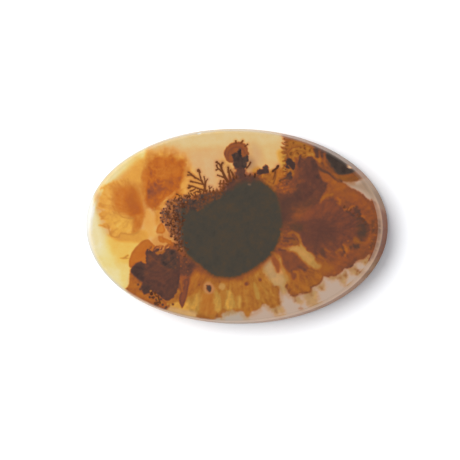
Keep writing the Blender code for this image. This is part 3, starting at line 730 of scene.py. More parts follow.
        (-11.6, -1.35), (-12.1, -1.35), (-12.55, -1.3)]),
    lobeB=dict(stain=0.52, rose=0.85, soft=0.45, rough=0.3, grain=0.35, mottle=1, rim=0.6, area=[
        (-12.35, -2.45), (-12.3, -1.85), (-11.8, -1.7), (-11.3, -2.15), (-10.6, -2.4), (-9.95, -2.95),
        (-10.25, -3.4), (-10.95, -3), (-11.6, -2.9), (-12.1, -2.65)]),
    smear=dict(stain=0.54, rose=0.3, soft=0.3, strength=0.7, area=[
        (-18.7, -5.45), (-18.05, -5.3), (-17.4, -4.85), (-17.2, -5.05), (-17.6, -5.35), (-17.05, -5.45),
        (-18.05, -5.6)]),
    mossBed=dict(stain=0.69, rose=0.5, soft=0.45, haze=0.07, rough=0.35, mottle=1.8, lace=0.8, area=[
        (-11, 3.9), (-10.55, 4.25), (-9.7, 4.4), (-9.2, 4.45), (-8.7, 4.7), (-8.2, 4.95), (-7.7, 4.7),
        (-7.05, 4.55), (-6.2, 4.95), (-5.05, 5.3), (-3.9, 5.55), (-2.25, 5.75), (-1.6, 6.1), (-0.55, 4.3),
        (-3.85, 1.95), (-7.15, 0.6), (-8.1, -2.35), (-8.1, -4.35), (-9.1, -3.55), (-9.7, -2.7),
        (-9.95, -2.05), (-9.85, -1.75), (-10.3, -1.4), (-10.8, -0.95), (-11.15, -0.3), (-11.3, 0.2),
        (-11.8, 0.45), (-12, 1.2), (-12.05, 2.2), (-11.85, 2.6), (-11.15, 2.8), (-10.8, 3.2), (-11, 3.6)]),
    amberTwist=dict(stain=0.75, rose=0.4, soft=0.25, rough=0.15, area=[
        (8.6, -1.7), (9.3, -1.5), (10.1, -1.8), (10.6, -2.3), (10.55, -2.95), (9.95, -2.95), (9.45, -2.3),
        (8.8, -2.15)]),
    mossInner=dict(stain=0.84, rose=0.55, soft=0.9, haze=0.05, rough=0.3, mottle=1, lace=0.5, area=[
        (-9.7, 3.2), (-8.55, 4.2), (-7.2, 4.35), (-6.2, 4.2), (-6.2, 3.25), (-7.7, 2.25), (-8.15, 0.6),
        (-8.15, -1.7), (-7.6, -3.85), (-8.6, -3.35), (-9.3, -1.4), (-9.55, 0.9)]),
    coreSkirt=dict(stain=0.745, soft=1.2, mottle=0.8, area=[
        (-8.1, -3.7), (-7.25, -5.8), (-6.05, -7.2), (-4.55, -8.15), (-2.9, -8.8), (-1.1, -8.95), (0.6, -8.8),
        (2.25, -8.25), (3.9, -7.4), (5.35, -6.15), (6.65, -4.8), (7.65, -3.15), (8.45, -1.5), (8.95, 0.15),
        (8.9, 2.1), (8.4, 3.75), (7.55, 5.05), (6.05, 6), (1.05, 5.95), (-5.5, 0.95)]),
    shadeBesidePatch=dict(stain=0.85, rose=0.8, soft=1, rough=0.3, mottle=1, area=[
        (-8.4, -5.5), (-7.6, -5.3), (-6.75, -5.7), (-6.1, -6.45), (-6.25, -7.1), (-7.25, -7.95),
        (-7.9, -7.8), (-8.5, -6.65)]),
    coreRightShade=dict(stain=0.88, rose=0.8, soft=2.4, rough=0.3, area=[
        (7.2, 5.05), (8.7, 4.9), (10.5, 5.75), (10.55, 4.9), (9.4, 3.4), (9.25, 1.45), (8.45, -0.35),
        (7.25, 0.1), (7.25, 3.55)]),
    core=dict(stain=0.903, rose=-0.15, soft=0.8, rough=0.12, ray=0.12, mottle=0.2, area=[
        (2.05, 8.25), (3.05, 8.25), (3.85, 7.95), (4.7, 7.45), (5.35, 7), (6.05, 6.5), (6.55, 5.85),
        (7.05, 5.05), (7.55, 3.4), (7.9, 1.6), (8.05, -0.2), (7.8, -1.45), (7.2, -3.1), (6.2, -4.6),
        (4.95, -5.75), (3.45, -6.9), (1.8, -7.8), (0.2, -8.35), (-1.5, -8.4), (-3, -8.2), (-4.5, -7.2),
        (-5.6, -6.25), (-6.75, -5.4), (-7.6, -4.65), (-8.1, -3.35), (-8.4, -2.05), (-8.55, 0.1),
        (-8.65, 1.75), (-8.5, 2.9), (-7.7, 3.4), (-6.55, 2.9), (-5.35, 3.25), (-4.4, 4.15), (-3.05, 4.75),
        (-2.25, 5.4), (-1.25, 6.15), (-0.45, 7.1), (0.7, 7.85)]),
    coreCrown=dict(stain=0.86, rose=0.8, soft=1.4, rough=0.3, ray=0.3, mottle=0.8, area=[
        (-2.1, 5.75), (-1.6, 7.05), (-0.6, 7.9), (0.35, 8.5), (2.05, 8.6), (3.7, 8.3), (4.7, 7.65),
        (3.7, 7.3), (2.05, 7.3), (0.7, 6.95), (-0.6, 5.95)]),
    coreShoulder=dict(stain=0.855, rose=0.5, soft=0.9, rough=0.4, grain=0.5, mottle=1.6, lace=0.3, area=[
        (-8.2, 3.55), (-7.2, 4.35), (-5.9, 4.9), (-4.25, 5.3), (-1.9, 5.6), (-2.25, 4.6), (-3.9, 3.75),
        (-5.55, 2.4), (-6.85, 2.55), (-7.85, 1.9)]),
    mushroomCap=dict(stain=0.72, rose=0.7, soft=0.3, rough=0.15, grain=0.5, rim=0.4, mottle=0.6, area=[
        (-1.5, 11.15), (-1.65, 11.65), (-1.6, 12.3), (-1.35, 12.8), (-0.85, 13.25), (-0.35, 13.6),
        (0.3, 13.75), (0.95, 13.7), (1.65, 13.45), (2.15, 12.95), (2.35, 12.35), (2.3, 11.55), (1.5, 10.9),
        (0.35, 10.85), (-0.15, 10.45), (-0.65, 10.35), (-1.05, 10.55)]),
    treeFoot=dict(stain=0.865, rose=0.85, rough=0.3, grain=0.4, mottle=1, area=[
        (0, 10.35), (1, 10.2), (2, 10.4), (2, 9.4), (1.95, 7.95), (1.05, 7.75), (0.4, 7.9), (0.2, 9.05)]),
    darkTree=dict(stain=0.95, soft=0.35, grain=0.35, rough=0.3, mottle=1, area=[
        (-0.4, 11.75), (0, 11.85), (0.5, 12.1), (0.8, 12.6), (1.15, 12.55), (1.25, 12.05), (1.35, 11.35),
        (1.85, 11.3), (2.05, 11.7), (2.3, 11.55), (2.4, 10.9), (2.25, 10.4), (2.05, 9.9), (1.7, 9.4),
        (1.2, 9.75), (0.5, 9.4), (0.1, 9.7), (-0.15, 10.2), (-0.05, 10.85), (-0.3, 11.35)]),
    knobC=dict(stain=0.935, rose=0.9, soft=0.3, rough=0.28, grain=0.45, area=[
        (3.7, 8.7), (3.95, 9.2), (4.25, 9.35), (4.65, 9.35), (4.9, 9.75), (5.3, 10.1), (5.65, 9.95),
        (5.75, 9.35), (5.75, 8.9), (5.35, 8.7), (4.35, 8.45)]),
)

# Stains that follow a line: width is across the line, in millimetres.
strokes = dict(
    mushroomLine=dict(stain=0.79, rose=0.9, soft=0.3, strength=0.8, width=0.26, path=[
        (-0.9, 10.85), (-1, 11.65), (-0.65, 12.4), (0, 12.85), (0.8, 12.9), (1.5, 12.5), (1.75, 11.95)]),
    plumeLineA=dict(stain=0.52, rose=0.5, soft=0.25, strength=0.6, width=0.12, path=[
        (-20.9, 0.1), (-20.6, -0.4), (-20.5, -1.05), (-20.3, -1.7), (-19.8, -2), (-18.9, -1.95),
        (-18.65, -1.35), (-18.1, -1.35), (-17.4, -1.6), (-16.75, -1.5), (-15.95, -1.3)]),
    plumeLineB=dict(stain=0.54, rose=0.7, soft=0.25, strength=0.6, width=0.12, path=[
        (-19.95, 3.05), (-19.6, 2.4), (-19.15, 2.25), (-18.8, 1.75), (-18.45, 1.3), (-17.6, 1.1),
        (-16.95, 1.05), (-16.45, 1.3)]),
    brownArc=dict(stain=0.86, soft=0.35, width=0.34, path=[
        (14.1, 9.5), (14.8, 9.05), (15.55, 8.85), (16.15, 8.45), (16.65, 7.95), (17.2, 7.7), (17.7, 7.55)]),
    darkStroke=dict(stain=0.87, rose=0.8, soft=0.25, width=0.34, path=[
        (13.95, 9.8), (14.8, 9.4), (15.6, 8.85), (16.3, 8.25), (16.9, 7.8), (17.65, 7.45)]),
    knobStemA=dict(stain=0.62, rose=0.7, soft=0.25, width=0.34, path=[
        (7.3, 9.9), (7.05, 9.45), (6.5, 9.05)]),
    knobStemB=dict(stain=0.78, rose=0.3, soft=0.25, width=0.25, path=[(6.85, 9.15), (6.85, 8), (6.5, 7)]),
    knobArc=dict(stain=0.84, rose=0.5, soft=0.2, width=0.35, path=[(7.6, 7.5), (8, 7.8), (9, 7.95)]),
    rimShade=dict(stain=0.7, rose=0.3, soft=0.25, width=0.25, path=[
        (-5.8, -14.65), (-4.8, -14.85), (-3.8, -15.05)]),
    belowFan=dict(stain=0.67, rose=0.2, soft=0.4, strength=0.6, width=0.32, paths=[
        [(15.1, -3.55), (15.95, -4.05)], [(16.95, -4.05), (17.6, -3.55), (18.25, -3.2)],
        [(18.45, -3.7), (19.25, -3)], [(19.9, -2.05), (20.55, -2.25)],
        [(14.15, -4.75), (14.95, -5.2), (15.45, -6.05)]]),
    fanTopEdge=dict(stain=0.78, rose=0.8, strength=0.5, width=0.4, path=[
        (19.3, 6.15), (20.45, 5.6), (21.5, 4.9), (22.3, 4.05), (22.8, 3.1)]),
    patchCrest=dict(stain=0.68, soft=0.35, strength=0.8, rough=0.2, grain=0.4, width=0.26, paths=[
        [(-12.65, -3.75), (-12.1, -3.35), (-11.6, -3.65)], [(-11.25, -3.65), (-10.75, -3.15), (-10.1, -3.3)],
        [(-13.9, -4), (-13.6, -3.5)]]),
    coreRays=dict(stain=0.83, rose=0.9, soft=0.4, width=0.36, paths=[
        [(7.95, -1.7), (8.95, -1.9), (9.8, -1.85), (10.1, -2)], [(7.8, -0.45), (8.95, -0.3)],
        [(7.65, -3.75), (8.65, -3.85)], [(8.3, -2.4), (8.95, -2.25)]]),
    paleRays=dict(stain=0.7, rose=0.35, soft=0.4, strength=0.85, rough=0.15, grain=0.4, width=0.22, paths=[
        [(7.3, -3.15), (8.15, -3.35), (9.15, -3.7)], [(7.95, -2.45), (8.65, -2.7), (9.4, -2.65)],
        [(7.95, -1.1), (8.05, -2)], [(6.35, -4.15), (7.15, -4.55), (7.6, -5.05)]]),
    patchLoops=dict(stain=0.79, rose=0.8, soft=0.3, strength=0.4, width=0.2, paths=[
        [(-14.85, -8.35), (-13.7, -7.8), (-12.35, -8.25), (-11.05, -7.65), (-10.05, -7)],
        [(-13.65, -9.5), (-12.7, -8.85), (-11.5, -9.25), (-10.35, -8.5)],
        [(-14.05, -6.05), (-13.2, -5.55), (-12.4, -6.05), (-11.25, -5.7), (-10.25, -5.05)],
        [(-13.2, -7.05), (-12.4, -6.6), (-11.05, -6.7), (-9.9, -5.85)]]),
    kneeEdge=dict(stain=0.82, soft=0.3, strength=0.6, width=0.24, paths=[
        [(14.85, -8.15), (14.35, -9.15), (13.2, -9.75), (12.85, -10.5), (11.7, -10.85), (10.55, -11.2),
        (9.55, -11.2)]]),
    kneeStreaks=dict(stain=0.6, rose=0.15, soft=0.35, strength=0.6, width=0.22, paths=[
        [(9.2, -7.6), (9.35, -8.9), (9.2, -10.2)], [(10.7, -7.9), (11.05, -9.35), (10.9, -10.5)],
        [(11.85, -8.2), (12.35, -9.35)], [(10.05, -8.9), (10.2, -10.2)]]),
    paleStreaks=dict(stain=0.55, rose=0.05, soft=0.4, strength=0.5, width=0.22, paths=[
        [(2.1, -10.45), (2.45, -11.95), (2.45, -13.1)], [(4.9, -9.3), (5.6, -10.75), (5.95, -12.05)],
        [(2.75, -8.3), (3.1, -9.65)], [(-0.25, -9), (-0.4, -10.15)], [(-8.55, -9.1), (-8.25, -10.75)],
        [(-6.05, -9.1), (-6.2, -10.55)], [(6.9, -10.05), (7.25, -11.55)]]),
    amberArcs=dict(stain=0.79, rose=0.4, soft=0.3, strength=0.7, rough=0.12, width=0.2, paths=[
        [(8.8, 11.45), (8.95, 12.3), (9.6, 12.85), (10.6, 13.05), (11.6, 13)],
        [(9.6, 11.65), (9.95, 12.2), (10.75, 12.45), (11.75, 12.25)],
        [(8.9, 14.1), (10.25, 14.05), (11.75, 13.45), (12.75, 12.85)]]),
    goldArcs=dict(stain=0.58, rose=0.1, soft=0.3, strength=0.6, rough=0.12, width=0.2, paths=[
        [(8.6, 13.6), (9.75, 13.7), (11.1, 13.45), (12.25, 12.8)],
        [(9.1, 11.95), (9.75, 12.55), (10.75, 12.7), (11.95, 12.5)], [(8.95, 10), (9.3, 9.5), (9, 9)]]),
    plumeTeeth=dict(stain=0.7, soft=0.32, rough=0.15, grain=0.4, width=0.22, paths=[
        [(8.95, 14), (8.25, 14.35), (7.8, 14.75)], [(8.95, 13.35), (8.35, 13.4), (7.9, 13.65)],
        [(8.95, 12.75), (8.3, 12.7), (7.8, 13)], [(8.8, 12.2), (8.2, 11.95), (7.85, 12.1)],
        [(8.55, 10.95), (8.15, 10.7)], [(8.5, 10), (8, 9.55)], [(8.65, 9.1), (8.1, 8.75)],
        [(8.5, 8.25), (7.9, 7.85), (7.4, 7.9)]]),
    fanTeethDark=dict(stain=0.885, rose=0.7, soft=0.4, strength=0.9, rough=0.2, grain=0.4, width=0.32,
        paths=[
        [(18.25, 3.3), (18.85, 2.45)], [(19.1, 2.4), (19.85, 1.85)], [(19.75, 3.4), (20.1, 2.8)],
        [(20.25, 2.8), (20.75, 2.15)], [(20.6, 1.75), (21.35, 1.35)], [(21.35, 1.1), (22.1, 0.45)]]),
    shoulderStripes=dict(stain=0.7, rose=0.5, soft=0.35, strength=0.55, width=0.24, paths=[
        [(13.9, 12.7), (14.25, 11.35), (15.1, 10.25), (16.1, 9.25)],
        [(13.6, 10.55), (14.45, 9.65), (15.6, 9.1), (16.65, 8.1), (17.65, 7.3)],
        [(14.75, 12.2), (14.95, 11.35)]]),
    paleUnderWedge=dict(stain=0.74, rose=0.3, soft=0.4, strength=0.8, width=0.28, path=[
        (17.1, 8.3), (18.1, 8.3), (19.2, 8.45), (19.75, 8.9), (20.35, 9.15)]),
    tanStreaks=dict(stain=0.58, rose=0.5, strength=0.75, rough=0.2, grain=0.5, width=0.32, paths=[
        [(17.1, 4.75), (17.5, 4.35), (17.4, 3.95)], [(18.25, 2.9), (18.85, 3.05), (19.5, 3.4), (19.9, 3.4)],
        [(18.1, -2.85), (18.6, -3.6), (18.45, -4.6)], [(21.1, 1.9), (21.5, 1.7)],
        [(8.85, -7.5), (9.3, -8.05)], [(10.6, -7.4), (10.8, -8.7)]]),
    hookLight=dict(stain=0.66, rose=0.2, soft=0.4, strength=0.7, width=0.36, path=[
        (9.2, -1.1), (9.75, -0.85), (10.45, -1.1), (10.95, -1.8), (11.1, -2.65)]),
    teeth=dict(stain=0.85, rose=0.65, soft=0.45, strength=0.9, rough=0.3, grain=0.35, width=0.4, paths=[
        [(20.15, 3.25), (20.1, 2.4)], [(20.6, 2.75), (20.7, 2.1)], [(20, 1.75), (20.5, 1.35), (21.2, 1.35)],
        [(19.25, -3), (19.35, -3.5)], [(18, -3.3), (18.25, -4)], [(22.95, 0.95), (22.95, -0.7)],
        [(23.05, -2), (22.65, -3.3)]]),
    plumeEdge=dict(stain=0.48, rose=0.2, soft=0.3, strength=0.6, rough=0.2, grain=0.4, width=0.16, paths=[
        [(-21.9, -0.1), (-21.35, -0.3), (-20.75, -0.65), (-20.35, -1.2), (-20.15, -1.7), (-19.5, -2),
        (-18.9, -1.85), (-18.5, -1.45), (-17.4, -1.45), (-16.4, -1.6), (-15.6, -1.05)],
        [(-22.25, 1.65), (-21.6, 1.15), (-21.95, 0.9)],
        [(-20.1, 2.15), (-19.3, 1.85), (-18.6, 1.35), (-17.6, 1.2), (-16.45, 1.05)],
        [(-22.6, 2.7), (-21.6, 2.3)], [(-13.1, 2.8), (-12.75, 1.7), (-12.45, 0.7)]]),
    plumeCurls=dict(stain=0.42, rose=0.95, soft=0.3, strength=0.6, rough=0.2, grain=0.4, width=0.18, paths=[
        [(-13.75, 9.55), (-12.75, 9.05), (-11.75, 9.25)], [(-13.4, 8.4), (-12.4, 8), (-11.25, 8.25)],
        [(-12.9, 7.4), (-12.55, 6.75), (-11.55, 7.1)], [(-14.25, 10.7), (-13.25, 11.2), (-11.95, 11.3)],
        [(-14.4, 8.05), (-13.7, 7.4), (-13.85, 6.75)]]),
    emberLines=dict(stain=0.8, rose=0.8, soft=0.35, strength=0.8, rough=0.25, grain=0.4, width=0.22, paths=[
        [(7.35, 5.95), (8.35, 6.1), (9.5, 6.55)], [(7.85, 6.6), (8.85, 6.85), (10, 7.3)],
        [(8.35, 7.25), (9.15, 7.55), (10, 7.85)], [(7.2, 6.7), (7.6, 7)], [(8.7, 5.7), (9.85, 6.05)]]),
    amberSpecks=dict(stain=0.82, soft=0.35, strength=0.6, rough=0.2, grain=0.3, width=0.24, paths=[
        [(4, 8.35), (4.5, 8.15)], [(5, 8.05), (5.25, 7.65)], [(5.7, 7.3), (6.2, 7.1)],
        [(6.05, 6.5), (6.45, 6.25)], [(6.85, 6.7), (7.2, 6.35)], [(4.7, 7.4), (5.05, 7.05)]]),
)

# Round spots: middle and radius.
spots = dict(
    mossLight=dict(stain=0.48, rose=0.55, soft=0.2, strength=0.8, radius=0.12, dots=[
        (-8.15, 4.75), (-7.85, 3.85), (-6.9, 4.45), (-6.45, 4.45), (-5.95, 4.4), (-9.75, 3.7), (-9.4, 3.45),
        (-11.15, 2.35), (-10.35, 2.2), (-9.85, 1.7), (-11.75, 1.5), (-11.25, 1.35), (-11.5, 1),
        (-10.75, 0.65), (-10, 0.7), (-9.9, 0.05), (-9.65, -0.4)]),
    paleSpeck=dict(stain=0.6, rose=0.3, haze=0.6, soft=0.25, strength=0.22, radius=0.14, dots=[
        (2.45, 6.85), (2.7, 6.8)]),
    mossDark=dict(stain=0.9, rose=0.8, soft=0.16, radius=0.18, dots=[
        (-11.5, 2.7), (-10.85, 1.7), (-11.65, 0.55), (-10.3, 0.4), (-9.8, -0.65), (-10.2, -1.8),
        (-9.85, 3.2), (-10.85, 3.9), (-12, 2), (-12, 1.25), (-11.15, 0.05), (-8.3, 3.55), (-9.05, 4.2),
        (-9.35, 2.55), (-10.5, 1.2)]),
    footDark=dict(stain=0.88, soft=0.2, radius=0.2, dots=[
        (-13.3, -11.3), (-13, -11.8), (-12.55, -12.2), (-12.55, -12.85), (-12.05, -12.6), (-11.5, -13),
        (-10.9, -13.4), (-9.8, -12.9), (-15.6, -9.75), (-15.25, -10.5), (-13.65, -11.8), (-11.8, -12.1)]),
    footLight=dict(stain=0.5, rose=0, soft=0.2, radius=0.18, dots=[
        (-13.5, -10.8), (-12.3, -12.05), (-12.8, -11.4), (-11.75, -12.6), (-10.65, -12.85)]),
    rustLight=dict(strength=0.4, stain=0.62, rose=0.5, soft=0.2, radius=0.15, dots=[
        (-8.95, -4.05), (-8.25, -4.85), (-7.65, -6), (-8.55, -6.65), (-9.15, -5.2), (-7.4, -7.45),
        (-8.05, -9.75)]),
    fanFlecks=dict(stain=0.68, rose=0.5, soft=0.2, radius=0.12, dots=[
        (23.05, 0), (23.5, 0.5), (23.2, -1.15), (22.8, -2.15), (22.4, -3.15), (17.95, -3.7), (18.9, -2.2),
        (17, 4)]),
    eye=dict(stain=0.89, rose=0.5, soft=0.3, rough=0.12, grain=0.3, area=[
        (-4.3, -9.75), (-3.95, -9.6), (-3.55, -9.85), (-3.45, -10.35), (-3.65, -10.8), (-4.05, -10.7),
        (-4.35, -10.25)]),
    softDotA=dict(stain=0.8, rose=0.9, soft=0.4, at=(2.3, -9.4), radius=0.33),
    softDotB=dict(stain=0.8, rose=0.75, soft=0.4, at=(4.55, -8.7), radius=0.27),
    smallDot=dict(stain=0.78, rose=0.8, soft=0.2, at=(-5.5, -9.65), radius=0.14),
)

# Veins that branch inside a plume: heading and sweep are in degrees.
veins = dict(
    fanVeins=dict(seed=31, within="fanDark", root=(10.95, -0.35), heading=0, sweep=48, stems=9, length=2.6,
        forks=3, change=0.014),
    fanPaleVeins=dict(seed=32, within="fanDark", root=(11.4, -0.35), heading=0, sweep=50, stems=8,
        length=2.8, forks=3, change=-0.01),
    rearVeins=dict(seed=33, within="rearDark", root=(11.05, 3.75), heading=80, sweep=35, stems=7, length=2.2,
        forks=3, change=0.022),
    rearPaleVeins=dict(seed=34, within="rearDark", root=(11.35, 4.45), heading=85, sweep=30, stems=5,
        length=2.2, forks=3, change=-0.012),
    patchVeins=dict(seed=35, within="darkPatch", root=(-9.05, -7.95), heading=180, sweep=60, stems=8,
        length=2.4, forks=3, change=0.02),
    patchPaleVeins=dict(seed=36, within="darkPatch", root=(-8.9, -7.65), heading=180, sweep=55, stems=6,
        length=2.4, forks=3, change=-0.024),
    middlePlumeVeins=dict(seed=37, within="middlePlumeBody", root=(-14.2, 5.45), heading=60, sweep=55,
        stems=6, length=1.8, forks=3, change=0.035),
    leftPlumeVeins=dict(seed=38, within="leftPlume", root=(-15.8, 2.8), heading=180, sweep=75, stems=7,
        length=1.9, forks=3, change=0.028),
    fanRays=dict(seed=39, within="amberFan", root=(14.1, -0.45), heading=-10, sweep=95, stems=12, length=3.4,
        forks=2, change=0.022),
    kneeRays=dict(seed=40, within="kneeLobe", root=(9.85, -5.75), heading=-75, sweep=50, stems=9, length=2.2,
        forks=2, width=0.13, change=0.028),
)

# Rows of short twigs along an edge, on the left of each path. Lengths and widths are in millimetres.
fringes = dict(
    coreCrownEdge=dict(seed=54, step=1, length=(0.05, 0.2), width=(0.3, 0.24), tone=0.7, path=[
        (-1.6, 6.25), (-0.95, 7.05), (0.05, 7.9), (1.7, 8.4), (3, 8.45), (4, 8.1)]),
    shoulderEdge=dict(seed=55, step=0.6, length=(0.1, 0.5), width=(0.26, 0.18), tone=0.35, path=[
        (-7.9, 4.85), (-5.55, 5.4), (-3.6, 5.65), (-1.9, 5.9)]),
    amberTeeth=dict(seed=56, step=0.62, length=(0.02, 0.34), width=(0.18, 0.1), tone=0.15, path=[
        (7.75, 7.2), (8.35, 8.35), (8.3, 9.65), (8.45, 10.95), (8.35, 12.1), (8.6, 13.25), (8.25, 14.4)]),
    fanTopTeeth=dict(seed=58, step=0.6, length=(0.05, 0.28), width=(0.22, 0.12), tone=0.5, path=[
        (18.2, 3.45), (19.35, 2.8), (20.6, 2), (21.6, 1.1), (22.05, -0.05)]),
)

# Fine twigs: tone from 0, golden brown, to 1, black, thickness at the two ends, and the way it runs.
twigs = [
    (0.3, (0.42, 0.3), [(-4.65, 5.7), (-4.85, 6.55), (-5.3, 7.25), (-5.55, 8.15), (-5.7, 8.75)]),
    (0.25, (0.5, 0.52), [(-5.65, 8.75), (-5.85, 9)]),
    (0.2, (0.36, 0.34), [(-5.25, 7.25), (-5.85, 7.6), (-6.4, 7.9), (-6.95, 8.3), (-7.45, 8.7)]),
    (0.3, (0.34, 0.3), [(-7, 8.25), (-7.6, 8.3)]),
    (0.2, (0.34, 0.28), [(-5.15, 6.8), (-6, 7), (-7.1, 7.25)]),
    (0.15, (0.34, 0.3), [(-4.8, 5.8), (-5.75, 6.05), (-6.4, 6.3), (-7.35, 6.55)]),
    (0.35, (0.36, 0.3), [(-6.9, 6.45), (-7.45, 6.15)]),
    (0.2, (0.28, 0.24), [(-6.25, 6.2), (-6.65, 5.85), (-7.15, 5.65)]),
    (0.2, (0.3, 0.24), [(-5.4, 5.55), (-6.05, 5.6), (-6.55, 5.35)]),
    (0.25, (0.36, 0.26), [(-4.65, 6.2), (-4.7, 7.1), (-4.9, 8)]),
    (0.25, (0.3, 0.26), [(-4.65, 6.85), (-4.55, 7.25), (-4.35, 7.6)]),
    (0.3, (0.3, 0.24), [(-3.95, 5.55), (-4.05, 6.45)]),
    (0.3, (0.26, 0.22), [(-4, 6.05), (-3.6, 6.35)]),
    (0.3, (0.26, 0.2), [(-3.4, 5.55), (-3.35, 6.1)]),
    (0.3, (0.24, 0.2), [(-2.85, 5.65), (-2.8, 6.15)]),
    (0.4, (0.5, 0.36), [(-0.95, 7.25), (-1.45, 7.95), (-1.8, 8.8), (-2.1, 9.6), (-2.4, 10.1),
        (-2.85, 10.45)]),
    (0.4, (0.34, 0.36), [(-2.15, 9.7), (-2.05, 10.1), (-1.9, 10.3)]),
    (0.35, (0.32, 0.28), [(-1.8, 8.8), (-2.35, 9.2), (-2.7, 9.5), (-2.85, 9.9)]),
    (0.35, (0.28, 0.26), [(-2.55, 9.3), (-2.9, 9.15)]),
    (0.35, (0.32, 0.24), [(-1.45, 7.9), (-2.05, 8.1), (-2.65, 8.3)]),
    (0.3, (0.44, 0.34), [(-0.45, 7.4), (-0.75, 8.4), (-0.9, 9.3), (-0.95, 9.6)]),
    (0.25, (0.4, 0.3), [(0.15, 7.9), (-0.2, 8.5), (-0.55, 9.15)]),
    (0.15, (0.28, 0.24), [(-2.15, 5.9), (-2.25, 6.75), (-2.2, 7.4)]),
    (0.15, (0.28, 0.24), [(-1.65, 6.1), (-1.7, 6.9), (-1.65, 7.4)]),
    (0.15, (0.22, 0.22), [(-2.4, 6.9), (-1.45, 6.9)]),
    (0.15, (0.22, 0.22), [(-2.4, 6.4), (-1.45, 6.35)]),
    (0.5, (0.34, 0.3), [(2.1, 9.5), (2.45, 9.9), (2.7, 10.45)]),
    (0.1, (0.34, 0.3), [(0.3, 13.6), (0.25, 13.9)]),
    (0.1, (0.34, 0.32), [(1.15, 13.6), (1.4, 13.95)]),
    (0.3, (0.3, 0.26), [(1.8, 13.1), (2.2, 13.4)]),
    (0.75, (0.44, 0.36), [(7.25, 9.9), (7, 9.5), (6.45, 9.1)]),
    (0.2, (0.28, 0.22), [(6.85, 9.15), (6.75, 8.5), (6.5, 7.75)]),
]

# The bevel and the side show the inside of the stone, so places there are pulled inwards, more towards the
# right end. Going down, markings lean.
insideLook = {
    "rim": (0.986, 1.004),      # shares of the front's oval where the pull begins and where it is full
    "pull": 0.012,
    "endPull": 0.035,           # added towards the right end
    "endFrom": (0.0, 17.0),     # millimetres along x where that begins and where it is full
    "endTurns": (6, 13),        # degrees round the oval over which it ends
    "lean": 1.6,
    "leanSize": 6.0,
}
bareStone = {"stain": 0.26, "rose": 0.9, "haze": 0.28}

depth = (stoneHeight - points[:, 2]) / stoneHeight
flat = points[:, :2]
endReach, sideReach, _ = easedProfile()[-1]
overRim = smooth(ovalShare(flat[:, 0] / endReach, flat[:, 1] / sideReach), *insideLook["rim"])
around = np.degrees(np.arctan2(flat[:, 1], flat[:, 0]))
atEnd = insideLook["endPull"] * smooth(flat[:, 0], *insideLook["endFrom"])
pull = insideLook["pull"] + atEnd * (1 - smooth(around, *insideLook["endTurns"]))
pulled = flat * (1 - pull * overRim)[:, None]
lean = np.column_stack([cloud(points, insideLook["leanSize"], seed, 2) for seed in (21, 22)])
places = pulled + lean * (depth * insideLook["lean"])[:, None]
field = {name: np.full(len(points), value) for name, value in bareStone.items()}

# How much each kind of grain changes the stain where a marking has it at 1, and how deep markings reach.
grainLook = {
    "fibre": 0.1,
    "fibresRound": 9.0,         # how close fibres lie, and how long they run
    "fibresOut": 2.2,
    "mottle": 0.1,
    "mottleSize": 0.7,
    "curl": 0.14,
    "curlSize": 1.3,
    "ripple": 0.1,
    "rippleWay": (0.6, 0.8),
    "ripples": 15,
    "laceLine": 0.13,
    "laceHole": 0.17,
    "laceSize": 0.6,
    "rim": 0.11,
    "rimAt": 0.14,              # millimetres inside the edge
    "rimWidth": 0.17,
    "markDepth": 1.3,           # shares of the stone's height
}


# Noise that runs in rays out from a middle, for the fibres that plumes grow in.
def rays(spot, middle, seed, finest):
    offset = spot - middle
    reach = np.hypot(*offset.T) + 1e-6
    around = offset / reach[:, None] * (grainLook["fibresRound"] / finest)
    return cloud(np.column_stack([around, reach / grainLook["fibresOut"]]), 1.0, seed, 2)


# How far inside its edge each near point lies for one marking, in millimetres.
def insideMark(mark, spot, curve):
    if "area" in mark:
        distance = curveDistance(spot, np.vstack([curve, curve[:1]]))[0]
        return np.where(insideCurve(spot, curve), distance, -distance)
    if "path" in mark:
        return mark["width"] / 2 - curveDistance(spot, curve)[0]
    return mark["radius"] - np.hypot(*(spot - mark["at"]).T)


# The stain inside a marking, with the grain that it has.
def grainedStain(mark, spot, solid, inside, fibres, down, seed):
    stain = mark["stain"] + mark["fibre"] * grainLook["fibre"] * fibres
    if mark["mottle"]:
        blotches = cloud(solid, grainLook["mottleSize"], seed + 3, 3)
        stain = stain + mark["mottle"] * grainLook["mottle"] * blotches
    if mark["curl"]:
        ridge = np.maximum(0, 1 - 5 * np.abs(cloud(solid, grainLook["curlSize"], seed + 4, 2)))
        stain = stain + mark["curl"] * grainLook["curl"] * ridge ** 1.5
    if mark["ripple"]:
        wayX, wayY = grainLook["rippleWay"]
        waves = (spot[:, 0] * wayX - spot[:, 1] * wayY) * grainLook["ripples"]
        waves = waves + 3 * cloud(solid, 0.9, seed + 6, 2)
        stain = stain + mark["ripple"] * grainLook["ripple"] * np.sin(waves)
    if mark["lace"]:
        first, second = nearestMiddles(spot, grainLook["laceSize"], seed + 7)
        lines = grainLook["laceLine"] * (1 - smooth(second - first, 0.04, 0.2))
        stain = stain + mark["lace"] * (lines - grainLook["laceHole"] * (1 - smooth(first, 0.05, 0.19)))
    if mark["rim"]:
        line = np.exp(-((inside - grainLook["rimAt"]) / grainLook["rimWidth"]) ** 2)
        stain = stain + mark["rim"] * grainLook["rim"] * (line * (1 - smooth(down, 0.3, 0.7)))
    return stain


